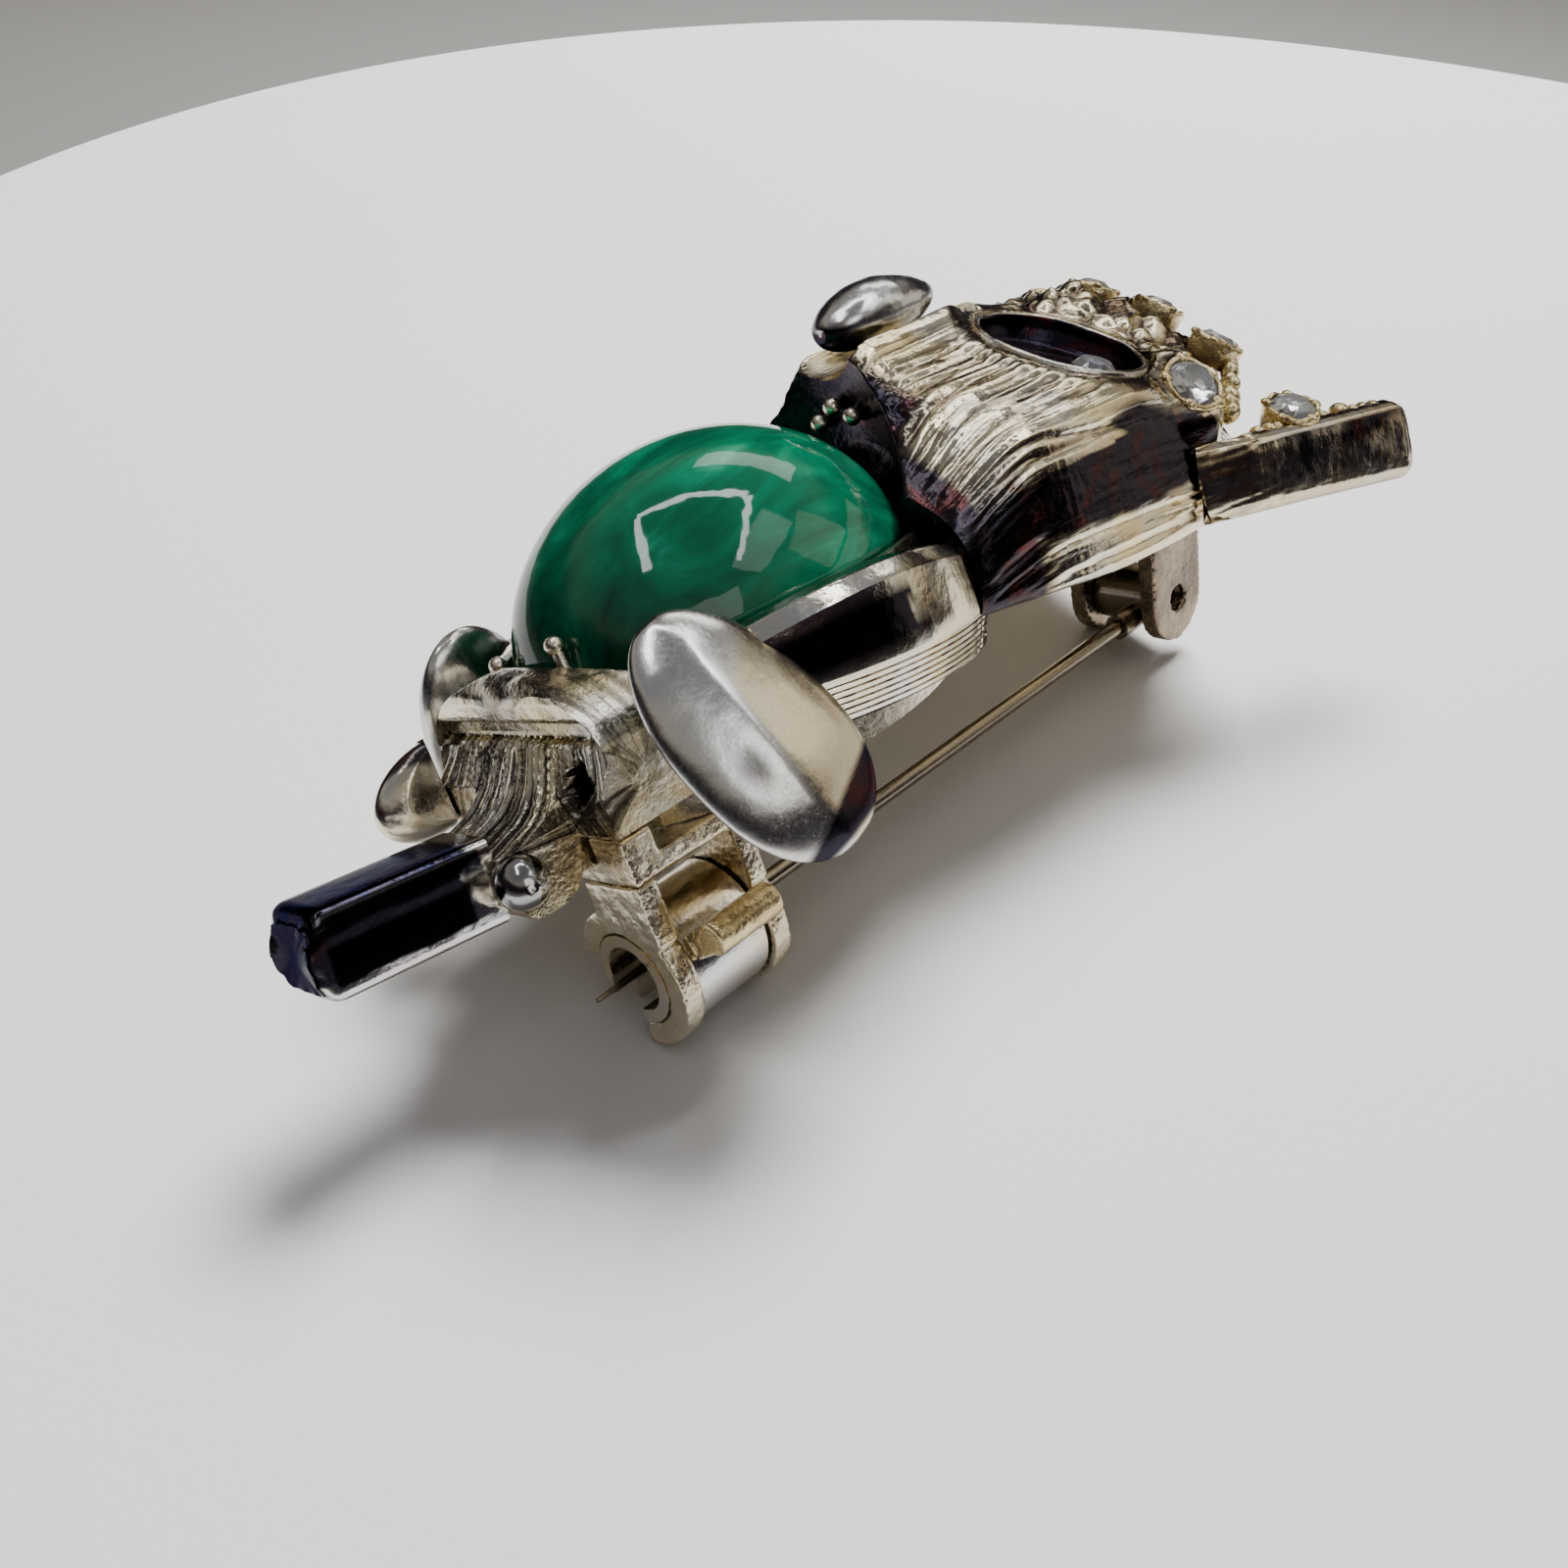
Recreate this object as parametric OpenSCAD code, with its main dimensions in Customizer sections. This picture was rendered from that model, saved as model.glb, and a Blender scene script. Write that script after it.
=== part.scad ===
// Owl brooch with an oval green stone, a riveted pin and a safety catch.
// It is drawn level in the bird's own frame: +Y towards the ears, +X to the bird's near side,
// +Z out of its front, with zero at the middle of the oval stone's girdle.
// The whole bird is then leaned over to the way it lies on a table, on its hardware and one ear,
// and moved so that zero is on the pin's centre line, half way along the pin.

/* [Resting pose] */
// Angle that the bird leans over about its long axis
lean = 27.6; // [20:0.2:32]

/* [Stone] */
// Length of the oval stone
stone_l = 16.4; // [15.6:0.1:16.8]
// Width of the oval stone
stone_w = 11.8; // [11:0.1:12]
// Height of its dome above the girdle
stone_dome = 6.4; // [5:0.1:7]
// Lean of the stone in its cup
stone_tilt = 9; // [0:0.5:10]

/* [Body] */
// Thickness of the back plate
plate_t = 1.95; // [1.5:0.05:2.2]
// Height of the back plate's underside
plate_z = -4.6; // [-4.8:0.1:-4.4]
// Clearance between cast pieces that are set together
seat_gap = 0.05; // [0.03:0.01:0.1]

/* [Head] */
// Radius of an eye dish
eye_r = 3.65; // [3.2:0.05:3.7]
// Depth of an eye dish
eye_depth = 1.6; // [1.2:0.1:1.7]
// Radius of a brow stone's collet
collet_r = 1.2; // [1:0.05:1.25]

/* [Pin and hinge] */
// Radius of the pin stem
pin_r = 0.36; // [0.3:0.01:0.4]
// Height of the pin's centre line
pin_z = -9.2; // [-9.3:0.05:-9.1]
// Sideways place of the pin
pin_x = 1.45; // [1.3:0.05:1.6]
// Place of the hinge rivet along the bird
hinge_y = 23; // [22.8:0.1:23.2]
// Lean of the hinge rivet, near end lower
hinge_tilt = 12; // [8:0.5:14]
// Tip of the pin along the bird
pin_tip_y = -11.4; // [-12:0.1:-11]
// Radius of a hinge cheek
cheek_r = 2; // [1.9:0.05:2.1]
// Radius of the hinge rivet
rivet_r = 0.6; // [0.5:0.05:0.7]
// Running clearance of the moving pieces
run_gap = 0.05; // [0.03:0.01:0.1]

/* [Safety catch] */
// Outer radius of the catch ring
ring_r = 2.55; // [2.4:0.05:2.6]
// Radius of the ring's bore
ring_bore_r = 1.7; // [1.6:0.05:1.75]
// Sideways offset of the ring from the pin
ring_dx = 0.65; // [0.5:0.05:0.8]

/* [Hidden] */
$fn = 48;
stone_a = stone_l / 2;
stone_b = stone_w / 2;
plate_top = plate_z + plate_t;
cup_wall = 0.5;
cup_rim = -0.35;
stone_skirt = 1.2;
set_clear = stone_b + cup_wall + seat_gap;
set_clear_l = stone_a + cup_wall + seat_gap;
hinge_x = 0.8;
hinge_z = -8.52;
cheek_t = 0.8;
cheek_in = 1.45;
base_t = 0.7;
hinge_base_t = 1.0;
ring_x = pin_x + ring_dx;
ring_z = -9.0;
ring_t = 0.8;
front_ring_y = -10.2;
back_ring_y = -6.05;
ring_air = 0.12;
rotor_l = back_ring_y - front_ring_y - ring_t - 2 * ring_air;
rotor_y = front_ring_y + ring_t + ring_air;
rotor_r = 2.3;
rotor_bore_r = 1.2;
mouth_clear = 0.3;
socket_l = 2.2;
tenon_r = 0.2;
tenon_slope = 0.06;
ear_set = 8;
pin_mid = [pin_x, (hinge_y + pin_tip_y) / 2, pin_z];
bar_h = 2.95;
bar_w = 3.0;
bead_r = 0.88;
bead_at = [2.55, -12.75, -3.85];
eye_x = 4.2;
eye_y = 17.4;
eye_z = 4.0;
eye_out = 30;
eye_back = 11;
// Brow stones on one side: place, outward tilt, backward tilt, size
brow_seats = [[1.5, 24.2, 5.0, 18, 28, 1], [4.0, 24.9, 3.5, 28, 30, 1], [6.6, 24.6, 1.6, 36, 24, 1],
    [7.85, 20.1, 0.95, 56, -6, 1.2]];
// The stone on the root of an ear
ear_seat = [9.1, 25.0, -1.75, 30, -4, 1.05];

// An ellipse as a polygon's points
function oval(rx, ry, n = 64) = [for (i = [0:n - 1]) [rx * cos(360 * i / n), ry * sin(360 * i / n)]];

// A closed shell through rings of points, each ring turning the same way about the axis they climb
module loft(rings) {
    n = len(rings[0]);
    m = len(rings);
    sides = [for (j = [0:m - 2]) for (i = [0:n - 1])
        [j * n + i, (j + 1) * n + i, (j + 1) * n + (i + 1) % n, j * n + (i + 1) % n]];
    ends = [[for (i = [0:n - 1]) i], [for (i = [n - 1:-1:0]) (m - 1) * n + i]];
    polyhedron(points = [for (r = rings) each r], faces = concat(sides, ends), convexity = 4);
}

// The bird's frame laid over on the table
module laid() {
    rotate([0, -lean, 0]) translate(-pin_mid) children();
}

// The far side as a mirror of the near side
module far_side() {
    mirror([1, 0, 0]) children();
}

// Room for the cup, cut out of whatever stands against it
module cup_room() {
    translate([0, 0, plate_z - 1]) linear_extrude(height = 12)
        polygon(oval(set_clear, set_clear_l));
}

module body_plate() {
    color("goldenrod") laid() translate([0, 0, plate_z])
        linear_extrude(height = plate_t) polygon(oval(stone_b + 0.6, stone_a + 0.45));
}

// An oval cup with a leaning floor and rim
module stone_cup() {
    color("goldenrod") laid() difference() {
        translate([0, 0, plate_top]) linear_extrude(height = 4)
            polygon(oval(stone_b + cup_wall, stone_a + cup_wall));
        rotate([0, -stone_tilt, 0]) {
            translate([0, 0, -stone_skirt - seat_gap]) linear_extrude(height = 6)
                polygon(oval(stone_b + seat_gap, stone_a + seat_gap));
            translate([-20, -20, cup_rim]) cube([40, 40, 10]);
        }
    }
}

function stone_ring(k, z) = [for (i = [0:47]) [stone_b * k * cos(i * 7.5), stone_a * k * sin(i * 7.5), z]];

module cabochon() {
    steps = 14;
    color("green") laid() rotate([0, -stone_tilt, 0])
        loft(concat([stone_ring(0.93, -stone_skirt), stone_ring(0.99, -0.5)],
            [for (k = [0:steps]) stone_ring(cos(k * 86 / steps), stone_dome * sin(k * 86 / steps))]));
}

// Bead-ended prongs that stand on the cup's rim at the tail end
module stone_prongs() {
    color("gold") laid() rotate([0, -stone_tilt, 0]) for (a = [-108, -72])
        translate([(stone_b + 0.3) * cos(a), (stone_a + 0.3) * sin(a), cup_rim]) {
            cylinder(r = 0.2, h = 1.9, $fn = 24);
            translate([0, 0, 2.05]) sphere(r = 0.32, $fn = 24);
        }
}

// Wing section at y: a tall bar with a bevelled top, curved round the cup
function wing_in(y) = 6.62 * sqrt(1 - pow(y / 11.5, 2)) + 0.1;
function wing_out(y) = wing_in(y) + 1.75 - 0.035 * pow(y, 2) / 2;
function wing_top(y) = 1.15 - 0.022 * pow(y + 2, 2);
function wing_bot(y) = -3.3 - 0.12 * (y + 2);
function wing_ring(y) = [
    [wing_in(y), y, wing_bot(y)], [wing_in(y), y, wing_top(y) - 0.35], [wing_in(y) + 0.35, y, wing_top(y)],
    [wing_out(y) - 0.55, y, wing_top(y)], [wing_out(y) - 0.1, y, wing_top(y) - 0.45],
    [wing_out(y), y, wing_bot(y) + 1.1], [wing_out(y) - 0.45, y, wing_bot(y)]];

module wing_shape() {
    difference() {
        loft([for (y = [-6:0.9:6.6]) wing_ring(y)]);
        foot_room();
        cup_room();
        translate([0, 0, plate_z - 1]) linear_extrude(height = plate_t + 1 + seat_gap)
            polygon(oval(stone_b + 0.6 + seat_gap, stone_a + 0.45 + seat_gap));
    }
}

module wing_right() {
    color("silver") laid() wing_shape();
}

module wing_left() {
    color("silver") laid() far_side() wing_shape();
}

// A pillow-shaped foot: long axis down and out, width along the bird
foot_mid = [7.65, -6.4, -1.75];
foot_axis = [0.388, 0.255, -0.886];
foot_wide = [0.02, 0.958, 0.285];
foot_face = cross(foot_wide, foot_axis);
function foot_ring(s, grow = 0) = [for (i = [0:23])
    let (w = 2.8 * pow(1 - min(0.99, pow(abs(s), 2.4)), 0.5) * (1 + 0.1 * s) + grow,
        t = 1.15 * pow(1 - min(0.99, pow(abs(s), 2.4)), 0.6) + grow)
    foot_mid + foot_axis * (4.6 * s) + foot_wide * (w * cos(15 * i)) - foot_face * (t * sin(15 * i))];

foot_steps = [-0.985, -0.94, -0.8, -0.6, -0.4, -0.2, 0, 0.2, 0.4, 0.6, 0.8, 0.94, 0.985];
module foot_shape() {
    loft([for (s = foot_steps) foot_ring(s)]);
}

// Room round a foot, cut out of the wing and the tail root
module foot_room() {
    loft([for (s = foot_steps) foot_ring(s * 1.02, 0.08)]);
}

module foot_right() {
    color("silver") laid() foot_shape();
}

module foot_left() {
    color("silver") laid() far_side() foot_shape();
}

// Side view of the tail root: domed top, undercut, hollow front face and a toe for the bar
root_side = [[-6.2, plate_z], [-6.2, 0.9], [-7.4, 1.5], [-8.7, 1.7], [-9.4, 1.45], [-9.9, 0.9], [-9.85, 0.1],
    [-9.3, 0.0], [-9.3, -0.6], [-9.75, -0.7], [-10.0, -1.2], [-10.5, -2.0], [-11.2, -2.6], [-12.4, -2.95],
    [-13.1, -3.1], [-13.1, -4.6], [-12.7, -5.3], [-11.2, -5.3], [-10.45, plate_z]];
// Front view of the tail root: a low arch
root_front = concat([[-4.95, -3.4], [-2.5, -3.6], [-1.9, -5.4], [1.9, -5.4], [2.5, -3.6], [4.95, -3.4]],
    [for (a = [0:12:180]) [4.95 * cos(a), -1.2 + 2.75 * sin(a)]]);

module tail_root() {
    color("darkkhaki") laid() difference() {
        intersection() {
            rotate([90, 0, 90]) translate([0, 0, -6]) linear_extrude(height = 12) polygon(root_side);
            rotate([90, 0, 0]) translate([0, 0, 5]) linear_extrude(height = 10) polygon(root_front);
        }
        cup_room();
        translate([0, 0, plate_z - 1]) linear_extrude(height = plate_t + 1 + seat_gap)
            polygon(oval(stone_b + 0.6 + seat_gap, stone_a + 0.45 + seat_gap));
        for (s = [-1, 1]) translate([s * 4.1, -12.8, -4]) cube([3.4, 4.6, 9.2], center = true);
        translate(bead_at) sphere(r = bead_r + seat_gap);
        bar_place() cube([bar_w + 2 * seat_gap, 2 * seat_gap, bar_h + 2 * seat_gap], center = true);
        bar_place() translate([0, -4, 0]) cube([bar_w + 2 * seat_gap, 8, bar_h + 2 * seat_gap], center = true);
        foot_room();
        far_side() foot_room();
    }
}

module tail_bead() {
    color("lightgray") laid() translate(bead_at) sphere(r = bead_r);
}

// The bar's own frame at its root
module bar_place() {
    translate([0.05, -12.95, -3.8]) rotate([-7, 0, 0]) children();
}

// A chamfered bar with a rounded end that rises towards its tip
module tail_bar() {
    bar_l = 6.45;
    bevel = 0.28;
    color("midnightblue") laid() bar_place() intersection() {
        rotate([90, 0, 90]) translate([0, 0, -bar_w]) linear_extrude(height = 2 * bar_w)
            polygon([[0, -bar_h / 2], [0, bar_h / 2], [-bar_l + 0.5, bar_h / 2], [-bar_l, bar_h / 2 - 0.6],
                [-bar_l + 0.15, -bar_h / 2 + 0.5], [-bar_l + 0.6, -bar_h / 2]]);
        rotate([90, 0, 0]) translate([0, 0, -1]) linear_extrude(height = bar_l + 2)
            polygon([[-bar_w / 2, -bar_h / 2 + bevel], [-bar_w / 2 + bevel, -bar_h / 2],
                [bar_w / 2 - bevel, -bar_h / 2], [bar_w / 2, -bar_h / 2 + bevel], [bar_w / 2, bar_h / 2 - bevel],
                [bar_w / 2 - bevel, bar_h / 2], [-bar_w / 2 + bevel, bar_h / 2], [-bar_w / 2, bar_h / 2 - bevel]]);
    }
}

// A smooth rounded tab on the far side of the tail
function spur_ring(s) = [for (i = [0:19]) let (k = sqrt(1 - s * s))
    [-4.75 + 0.75 * k * cos(18 * i) - 0.35 * s, -10.75 - 2.3 * s, -1.95 - 0.35 * s + 1.6 * k * sin(18 * i)]];

module tail_spur() {
    color("sienna") laid() difference() {
        loft([for (s = [0.985, 0.9, 0.75, 0.5, 0.25, 0, -0.25, -0.4]) spur_ring(s)]);
        translate([-2.35, -9, -3]) cube([4.0, 14, 12], center = true);
        translate([-5.05, -10.55, -8]) cube([10, 10, 14]);
    }
}

// Head section at y: flat back, upright side, shoulder and a rounded ridge
function head_half(y) = y < 11 ? 7.3 + 0.12 * (y - 5) : (y < 20.5 ? 8.0 + 0.04 * (y - 11) : 8.4 - 0.5 * (y - 20.5));
function head_ridge(y) = y < 9 ? 3.0 + 1.05 * (y - 5) :
    (y < 15.5 ? 7.2 : (y < 19 ? 7.2 - 0.343 * (y - 15.5) : (y < 22 ? 6.0 : 6.0 - 0.55 * (y - 22))));
function head_side(y) = y < 10 ? 0.0 + 0.44 * (y - 5) : (y < 16 ? 2.2 : 2.2 - 0.3 * (y - 16));
function head_back(y) = -3.0 - 0.16 * (y - 5) * (y < 13 ? 1 : 13 / (y + 5) * 1.4);
function head_ring(y) = let (w = head_half(y), h = head_ridge(y), s = head_side(y), b = head_back(y),
    f = min(h, 6.0))
    [[w * 0.94, y, b], [-w * 0.94, y, b], [-w, y, b + 0.6], [-w, y, s - 0.6], [-w * 0.93, y, s + 0.5],
    [-w * 0.7, y, s + (f - s) * 0.52], [-w * 0.4, y, s + (f - s) * 0.8], [-w * 0.18, y, h],
    [w * 0.18, y, h], [w * 0.4, y, s + (f - s) * 0.8], [w * 0.7, y, s + (f - s) * 0.52],
    [w * 0.93, y, s + 0.5], [w, y, s - 0.6], [w, y, b + 0.6]];

module eye_place() {
    translate([eye_x, eye_y, eye_z]) rotate([-eye_back, eye_out, 0]) children();
}

module brow_place(seat) {
    translate([seat[0], seat[1], seat[2]]) rotate([-seat[4], seat[3], 0]) scale(seat[5]) children();
}

module both_sides() {
    children();
    mirror([1, 0, 0]) children();
}

module head_shell() {
    color("khaki") laid() difference() {
        loft([for (y = [5.3, 7, 9, 11, 13.5, 16, 18.5, 20.5, 22.5, 24.5, 26]) head_ring(y)]);
        cup_room();
        translate([0, 0, plate_z - 1]) linear_extrude(height = plate_t + 1 + seat_gap)
            polygon(oval(stone_b + 0.6 + seat_gap, stone_a + 0.45 + seat_gap));
        both_sides() eye_place() translate([0, 0, -eye_depth]) cylinder(r = eye_r + seat_gap, h = 8);
        both_sides() for (seat = brow_seats) brow_place(seat)
            translate([0, 0, -1.0]) cylinder(r = collet_r + seat_gap, h = 6);
        translate([0, 17.3, 7.55]) rotate([90, 0, 0]) cylinder(r = 1.7, h = 16);
        translate([hinge_x - 2.35, hinge_y - 2.55, -10]) cube([4.7, 5.1, 10 + head_back(hinge_y)]);
        both_sides() wing_room();
    }
}

// Room for the end of a wing where it tucks under the head
module wing_room() {
    translate([5.0, 4, -6]) cube([3.5, 2.9, 8.2]);
}

function beak_ring(s) = [for (i = [0:19])
    let (k = s < 0 ? sqrt(1 - s * s) : sqrt(1 - pow(s, 1.6)), y = 12.1 + 3.3 * s)
    [1.62 * k * sin(18 * i), y, 7.62 - 0.1 * s + 1.3 * k * cos(18 * i)]];

module beak() {
    color("silver") laid()
        loft([for (s = [-0.98, -0.9, -0.75, -0.5, -0.25, 0, 0.25, 0.5, 0.75, 0.9, 0.98]) beak_ring(s)]);
}

module chin_beads() {
    color("gold") laid() for (p = [[-0.9, 4.4], [0, 4.9], [0.9, 4.4]])
        translate([p[0], set_clear_l - 0.42, p[1]]) sphere(r = 0.36, $fn = 24);
}

module eye_dish() {
    eye_place() difference() {
        translate([0, 0, -eye_depth + seat_gap]) cylinder(r = eye_r, h = eye_depth + 0.35);
        translate([0, 0, -eye_depth + 0.5]) cylinder(r = eye_r - 0.45, h = 4);
    }
}

module eye_dish_right() {
    color("black") laid() eye_dish();
}

module eye_dish_left() {
    color("black") laid() far_side() eye_dish();
}

module eye_stone() {
    eye_place() translate([1.75, 0, -eye_depth + 0.5 + seat_gap]) {
        cylinder(r = 1.15, h = 0.7);
        translate([0, 0, 0.7]) cylinder(r1 = 1.15, r2 = 0.65, h = 0.5);
    }
}

module eye_stone_right() {
    color("gainsboro") laid() eye_stone();
}

module eye_stone_left() {
    color("gainsboro") laid() far_side() eye_stone();
}

// The same thing at every seat: the brow's, and one on each ear
module at_seats() {
    both_sides() for (seat = brow_seats) brow_place(seat) children();
    brow_place(ear_seat) children();
    rotate([0, ear_set, 0]) mirror([1, 0, 0]) brow_place(ear_seat) children();
}

// Round collets along the brow, each with a seat for its stone
module brow_collets() {
    color("gold") laid() at_seats() difference() {
        translate([0, 0, -0.95]) cylinder(r = collet_r, h = 1.45);
        translate([0, 0, -0.2]) cylinder(r = collet_r - 0.2, h = 2);
    }
}

module brow_stones() {
    color("white") laid() at_seats() {
        translate([0, 0, -0.15]) cylinder(r = collet_r - 0.25, h = 0.55);
        translate([0, 0, 0.4]) cylinder(r1 = collet_r - 0.25, r2 = 0.5, h = 0.42);
    }
}

// Ear section at y: a bar that lies along the brow, leaves it and spreads outwards
function ear_in(y) = y < 20.6 ? 8.5 : (y < 24 ? 8.5 - 0.19 * (y - 20.6) : 7.85 + 0.3 * (y - 24));
function ear_out(y) = y < 20.6 ? 8.85 + 0.21 * (y - 18.2) : 9.35 + 0.21 * (y - 20.6);
function ear_top(y) = -1.5 - 0.17 * (y - 20.6);
function ear_bot(y) = -4.75 - 0.2 * (y - 20.6);
function ear_ring(y, k = 1) = let (i = ear_in(y), o = ear_out(y), t = ear_top(y), b = ear_bot(y),
    ix = (1 - k) * (i + o) / 2, iz = (1 - k) * (t + b) / 2)
    [for (p = [[i, b + 0.3], [i, t - 0.3], [i + 0.25, t], [o - 0.4, t], [o, t - 0.4], [o, b + 0.4], [o - 0.4, b],
        [i + 0.25, b]]) [p[0] * k + ix, y, p[1] * k + iz]];

module ear_shape() {
    difference() {
        loft(concat([for (y = [18.2:1.2:30.2]) ear_ring(y)], [ear_ring(30.45, 0.8)]));
        for (seat = [brow_seats[3], ear_seat]) brow_place(seat)
            translate([0, 0, -1.0]) cylinder(r = collet_r + seat_gap, h = 6);
    }
}

module ear_right() {
    color("dimgray") laid() ear_shape();
}

// The far ear stands a little higher, where the bird rests on it
module ear_left() {
    color("dimgray") laid() rotate([0, ear_set, 0]) far_side() ear_shape();
}

// The rivet's frame: X along the rivet
module hinge_place() {
    translate([hinge_x, hinge_y, hinge_z]) rotate([0, hinge_tilt, 0]) children();
}

// Base plate and two drilled cheeks of the pin hinge
module hinge_base() {
    back = head_back(hinge_y) - seat_gap;
    color("gold") laid() difference() {
        union() {
            translate([hinge_x - 2.3, hinge_y - 2.5, back - hinge_base_t]) cube([4.6, 5, hinge_base_t]);
            hinge_place() for (s = [-1, 1]) translate([s * (cheek_in + cheek_t / 2), 0, 0]) {
                rotate([0, 90, 0]) cylinder(r = cheek_r, h = cheek_t, center = true);
                translate([-cheek_t / 2, -cheek_r, 0]) cube([cheek_t, 2 * cheek_r, 6]);
            }
        }
        translate([-20, 0, back]) cube([40, 40, 10]);
        hinge_place() rotate([0, 90, 0]) cylinder(r = rivet_r, h = 12, center = true);
    }
}

// The rivet's hollow ends stay below the cheeks' faces
module hinge_rivet() {
    end_z = cheek_in + cheek_t - 0.35;
    color("silver") laid() hinge_place() rotate([0, 90, 0]) difference() {
        cylinder(r = rivet_r, h = 2 * end_z, center = true);
        for (s = [-1, 1]) translate([0, 0, s * end_z]) cylinder(r = rivet_r * 0.6, h = 0.8, center = true);
    }
}

// Eye of the pin: a drum round the rivet with a socket for the stem
module pin_eye() {
    color("gold") laid() difference() {
        union() {
            hinge_place() rotate([0, 90, 0]) cylinder(r = 1.35, h = 2 * cheek_in - 0.2, center = true);
            translate([pin_x, hinge_y - 0.7, pin_z]) rotate([90, 0, 0]) cylinder(r = 0.58, h = socket_l);
        }
        hinge_place() rotate([0, 90, 0]) cylinder(r = rivet_r + run_gap, h = 12, center = true);
        translate([pin_x, hinge_y - 1.4, pin_z]) rotate([90, 0, 0])
            cylinder(r1 = tenon_r + 0.01, r2 = tenon_r + 0.01 + 8 * tenon_slope, h = 8);
    }
}

// A wire with a tapered tenon at its root, a full round stem and a long point that sits in the catch
module pin_stem() {
    root_y = hinge_y - 1.41;
    stem_y = hinge_y - 0.7 - socket_l - 0.1;
    thin_y = back_ring_y + ring_t + 0.15;
    color("gold") laid() translate([pin_x, root_y, pin_z]) rotate([90, 0, 0]) {
        cylinder(r1 = tenon_r, r2 = tenon_r + tenon_slope * (root_y - stem_y), h = root_y - stem_y);
        translate([0, 0, root_y - stem_y]) cylinder(r = pin_r, h = stem_y - thin_y);
        translate([0, 0, root_y - thin_y]) cylinder(r1 = pin_r, r2 = 0.08, h = thin_y - pin_tip_y);
    }
}

// Flat foot that carries the two rings of the catch
module catch_base() {
    color("gold") laid() translate([ring_x - 1.5, front_ring_y, plate_z - seat_gap - base_t]) {
        cube([3.9, back_ring_y - front_ring_y + ring_t, base_t]);
        translate([2.1, 0, base_t - 0.1]) cube([1.8, 1.2, 1.05]);
    }
}

// The pin's way out of the catch, from its centre line away from the back
module way_out(far, near, y0, l) {
    translate([pin_x, y0, pin_z]) rotate([0, hinge_tilt, 0]) translate([-far, 0, -8]) cube([far + near, l, 8]);
}

// One ring of the catch: a C that hangs from its base and opens to the far side and downwards
module catch_ring(y0) {
    way = pin_r + mouth_clear;
    leg_top = plate_z - base_t - 2 * seat_gap;
    color("gold") laid() difference() {
        union() {
            translate([ring_x, y0 + ring_t, ring_z]) rotate([90, 0, 0]) cylinder(r = ring_r, h = ring_t);
            translate([ring_x - 0.7, y0, ring_z + 1.4]) cube([3.0, ring_t, leg_top - ring_z - 1.4]);
        }
        translate([ring_x, y0 + ring_t + 1, ring_z]) rotate([90, 0, 0]) cylinder(r = ring_bore_r, h = ring_t + 2);
        way_out(6, way, y0 - 1, ring_t + 2);
        translate([ring_x - 6, y0 - 1, pin_z - 1]) cube([5, ring_t + 2, 1.9]);
    }
}

module catch_front_ring() {
    catch_ring(front_ring_y);
}

module catch_back_ring() {
    catch_ring(back_ring_y);
}

// Sleeve that turns between the rings; its slot lines up with the mouth when the catch is open
module catch_rotor() {
    way = pin_r + mouth_clear;
    spigot_l = rotor_l + 2 * (ring_air + ring_t);
    color("silver") laid() difference() {
        translate([ring_x, 0, ring_z]) rotate([90, 0, 0]) {
            translate([0, 0, -rotor_y - rotor_l]) cylinder(r = rotor_r, h = rotor_l);
            translate([0, 0, -front_ring_y - spigot_l]) cylinder(r = ring_bore_r - run_gap, h = spigot_l);
        }
        translate([ring_x, 0, ring_z]) rotate([90, 0, 0]) cylinder(r = rotor_bore_r, h = 20);
        way_out(way, way, front_ring_y - 1, 12);
    }
}

// Thumb lever of the rotor
module rotor_tab() {
    tab_l = rotor_l - 0.3;
    color("gold") laid() translate([ring_x, rotor_y + 0.15, ring_z]) rotate([0, -20, 0]) difference() {
        union() {
            translate([rotor_r - 0.4, 0, -0.45]) cube([1.85, tab_l, 0.9]);
            translate([rotor_r + 1.45, tab_l, 0.05]) rotate([90, 0, 0]) cylinder(r = 0.6, h = tab_l);
        }
        translate([0, 8, 0]) rotate([90, 0, 0]) cylinder(r = rotor_r + 0.02, h = 12);
    }
}

body_plate();
stone_cup();
cabochon();
stone_prongs();
wing_left();
wing_right();
foot_left();
foot_right();
tail_root();
tail_bar();
tail_bead();
tail_spur();
head_shell();
beak();
chin_beads();
eye_dish_left();
eye_dish_right();
eye_stone_left();
eye_stone_right();
brow_collets();
brow_stones();
ear_left();
ear_right();
hinge_base();
hinge_rivet();
pin_eye();
pin_stem();
catch_base();
catch_front_ring();
catch_back_ring();
catch_rotor();
rotor_tab();
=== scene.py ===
import math

import bmesh
import bpy
from mathutils import Matrix, Vector, noise


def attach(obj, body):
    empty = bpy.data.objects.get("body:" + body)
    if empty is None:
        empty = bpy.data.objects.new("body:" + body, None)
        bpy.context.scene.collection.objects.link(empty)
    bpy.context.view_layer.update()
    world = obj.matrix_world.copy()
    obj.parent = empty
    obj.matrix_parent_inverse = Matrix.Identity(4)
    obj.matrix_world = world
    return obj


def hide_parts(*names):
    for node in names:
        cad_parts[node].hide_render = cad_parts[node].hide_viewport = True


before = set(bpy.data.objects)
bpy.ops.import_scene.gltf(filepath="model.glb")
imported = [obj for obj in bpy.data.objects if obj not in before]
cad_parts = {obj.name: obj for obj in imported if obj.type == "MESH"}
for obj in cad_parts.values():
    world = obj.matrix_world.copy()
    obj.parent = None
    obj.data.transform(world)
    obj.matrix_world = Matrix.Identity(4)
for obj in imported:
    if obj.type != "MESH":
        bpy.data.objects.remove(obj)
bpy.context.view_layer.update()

# ---------------------------------------------------------------- body frame (mm) to row frame (m)
LEAN = math.radians(27.6)
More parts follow.
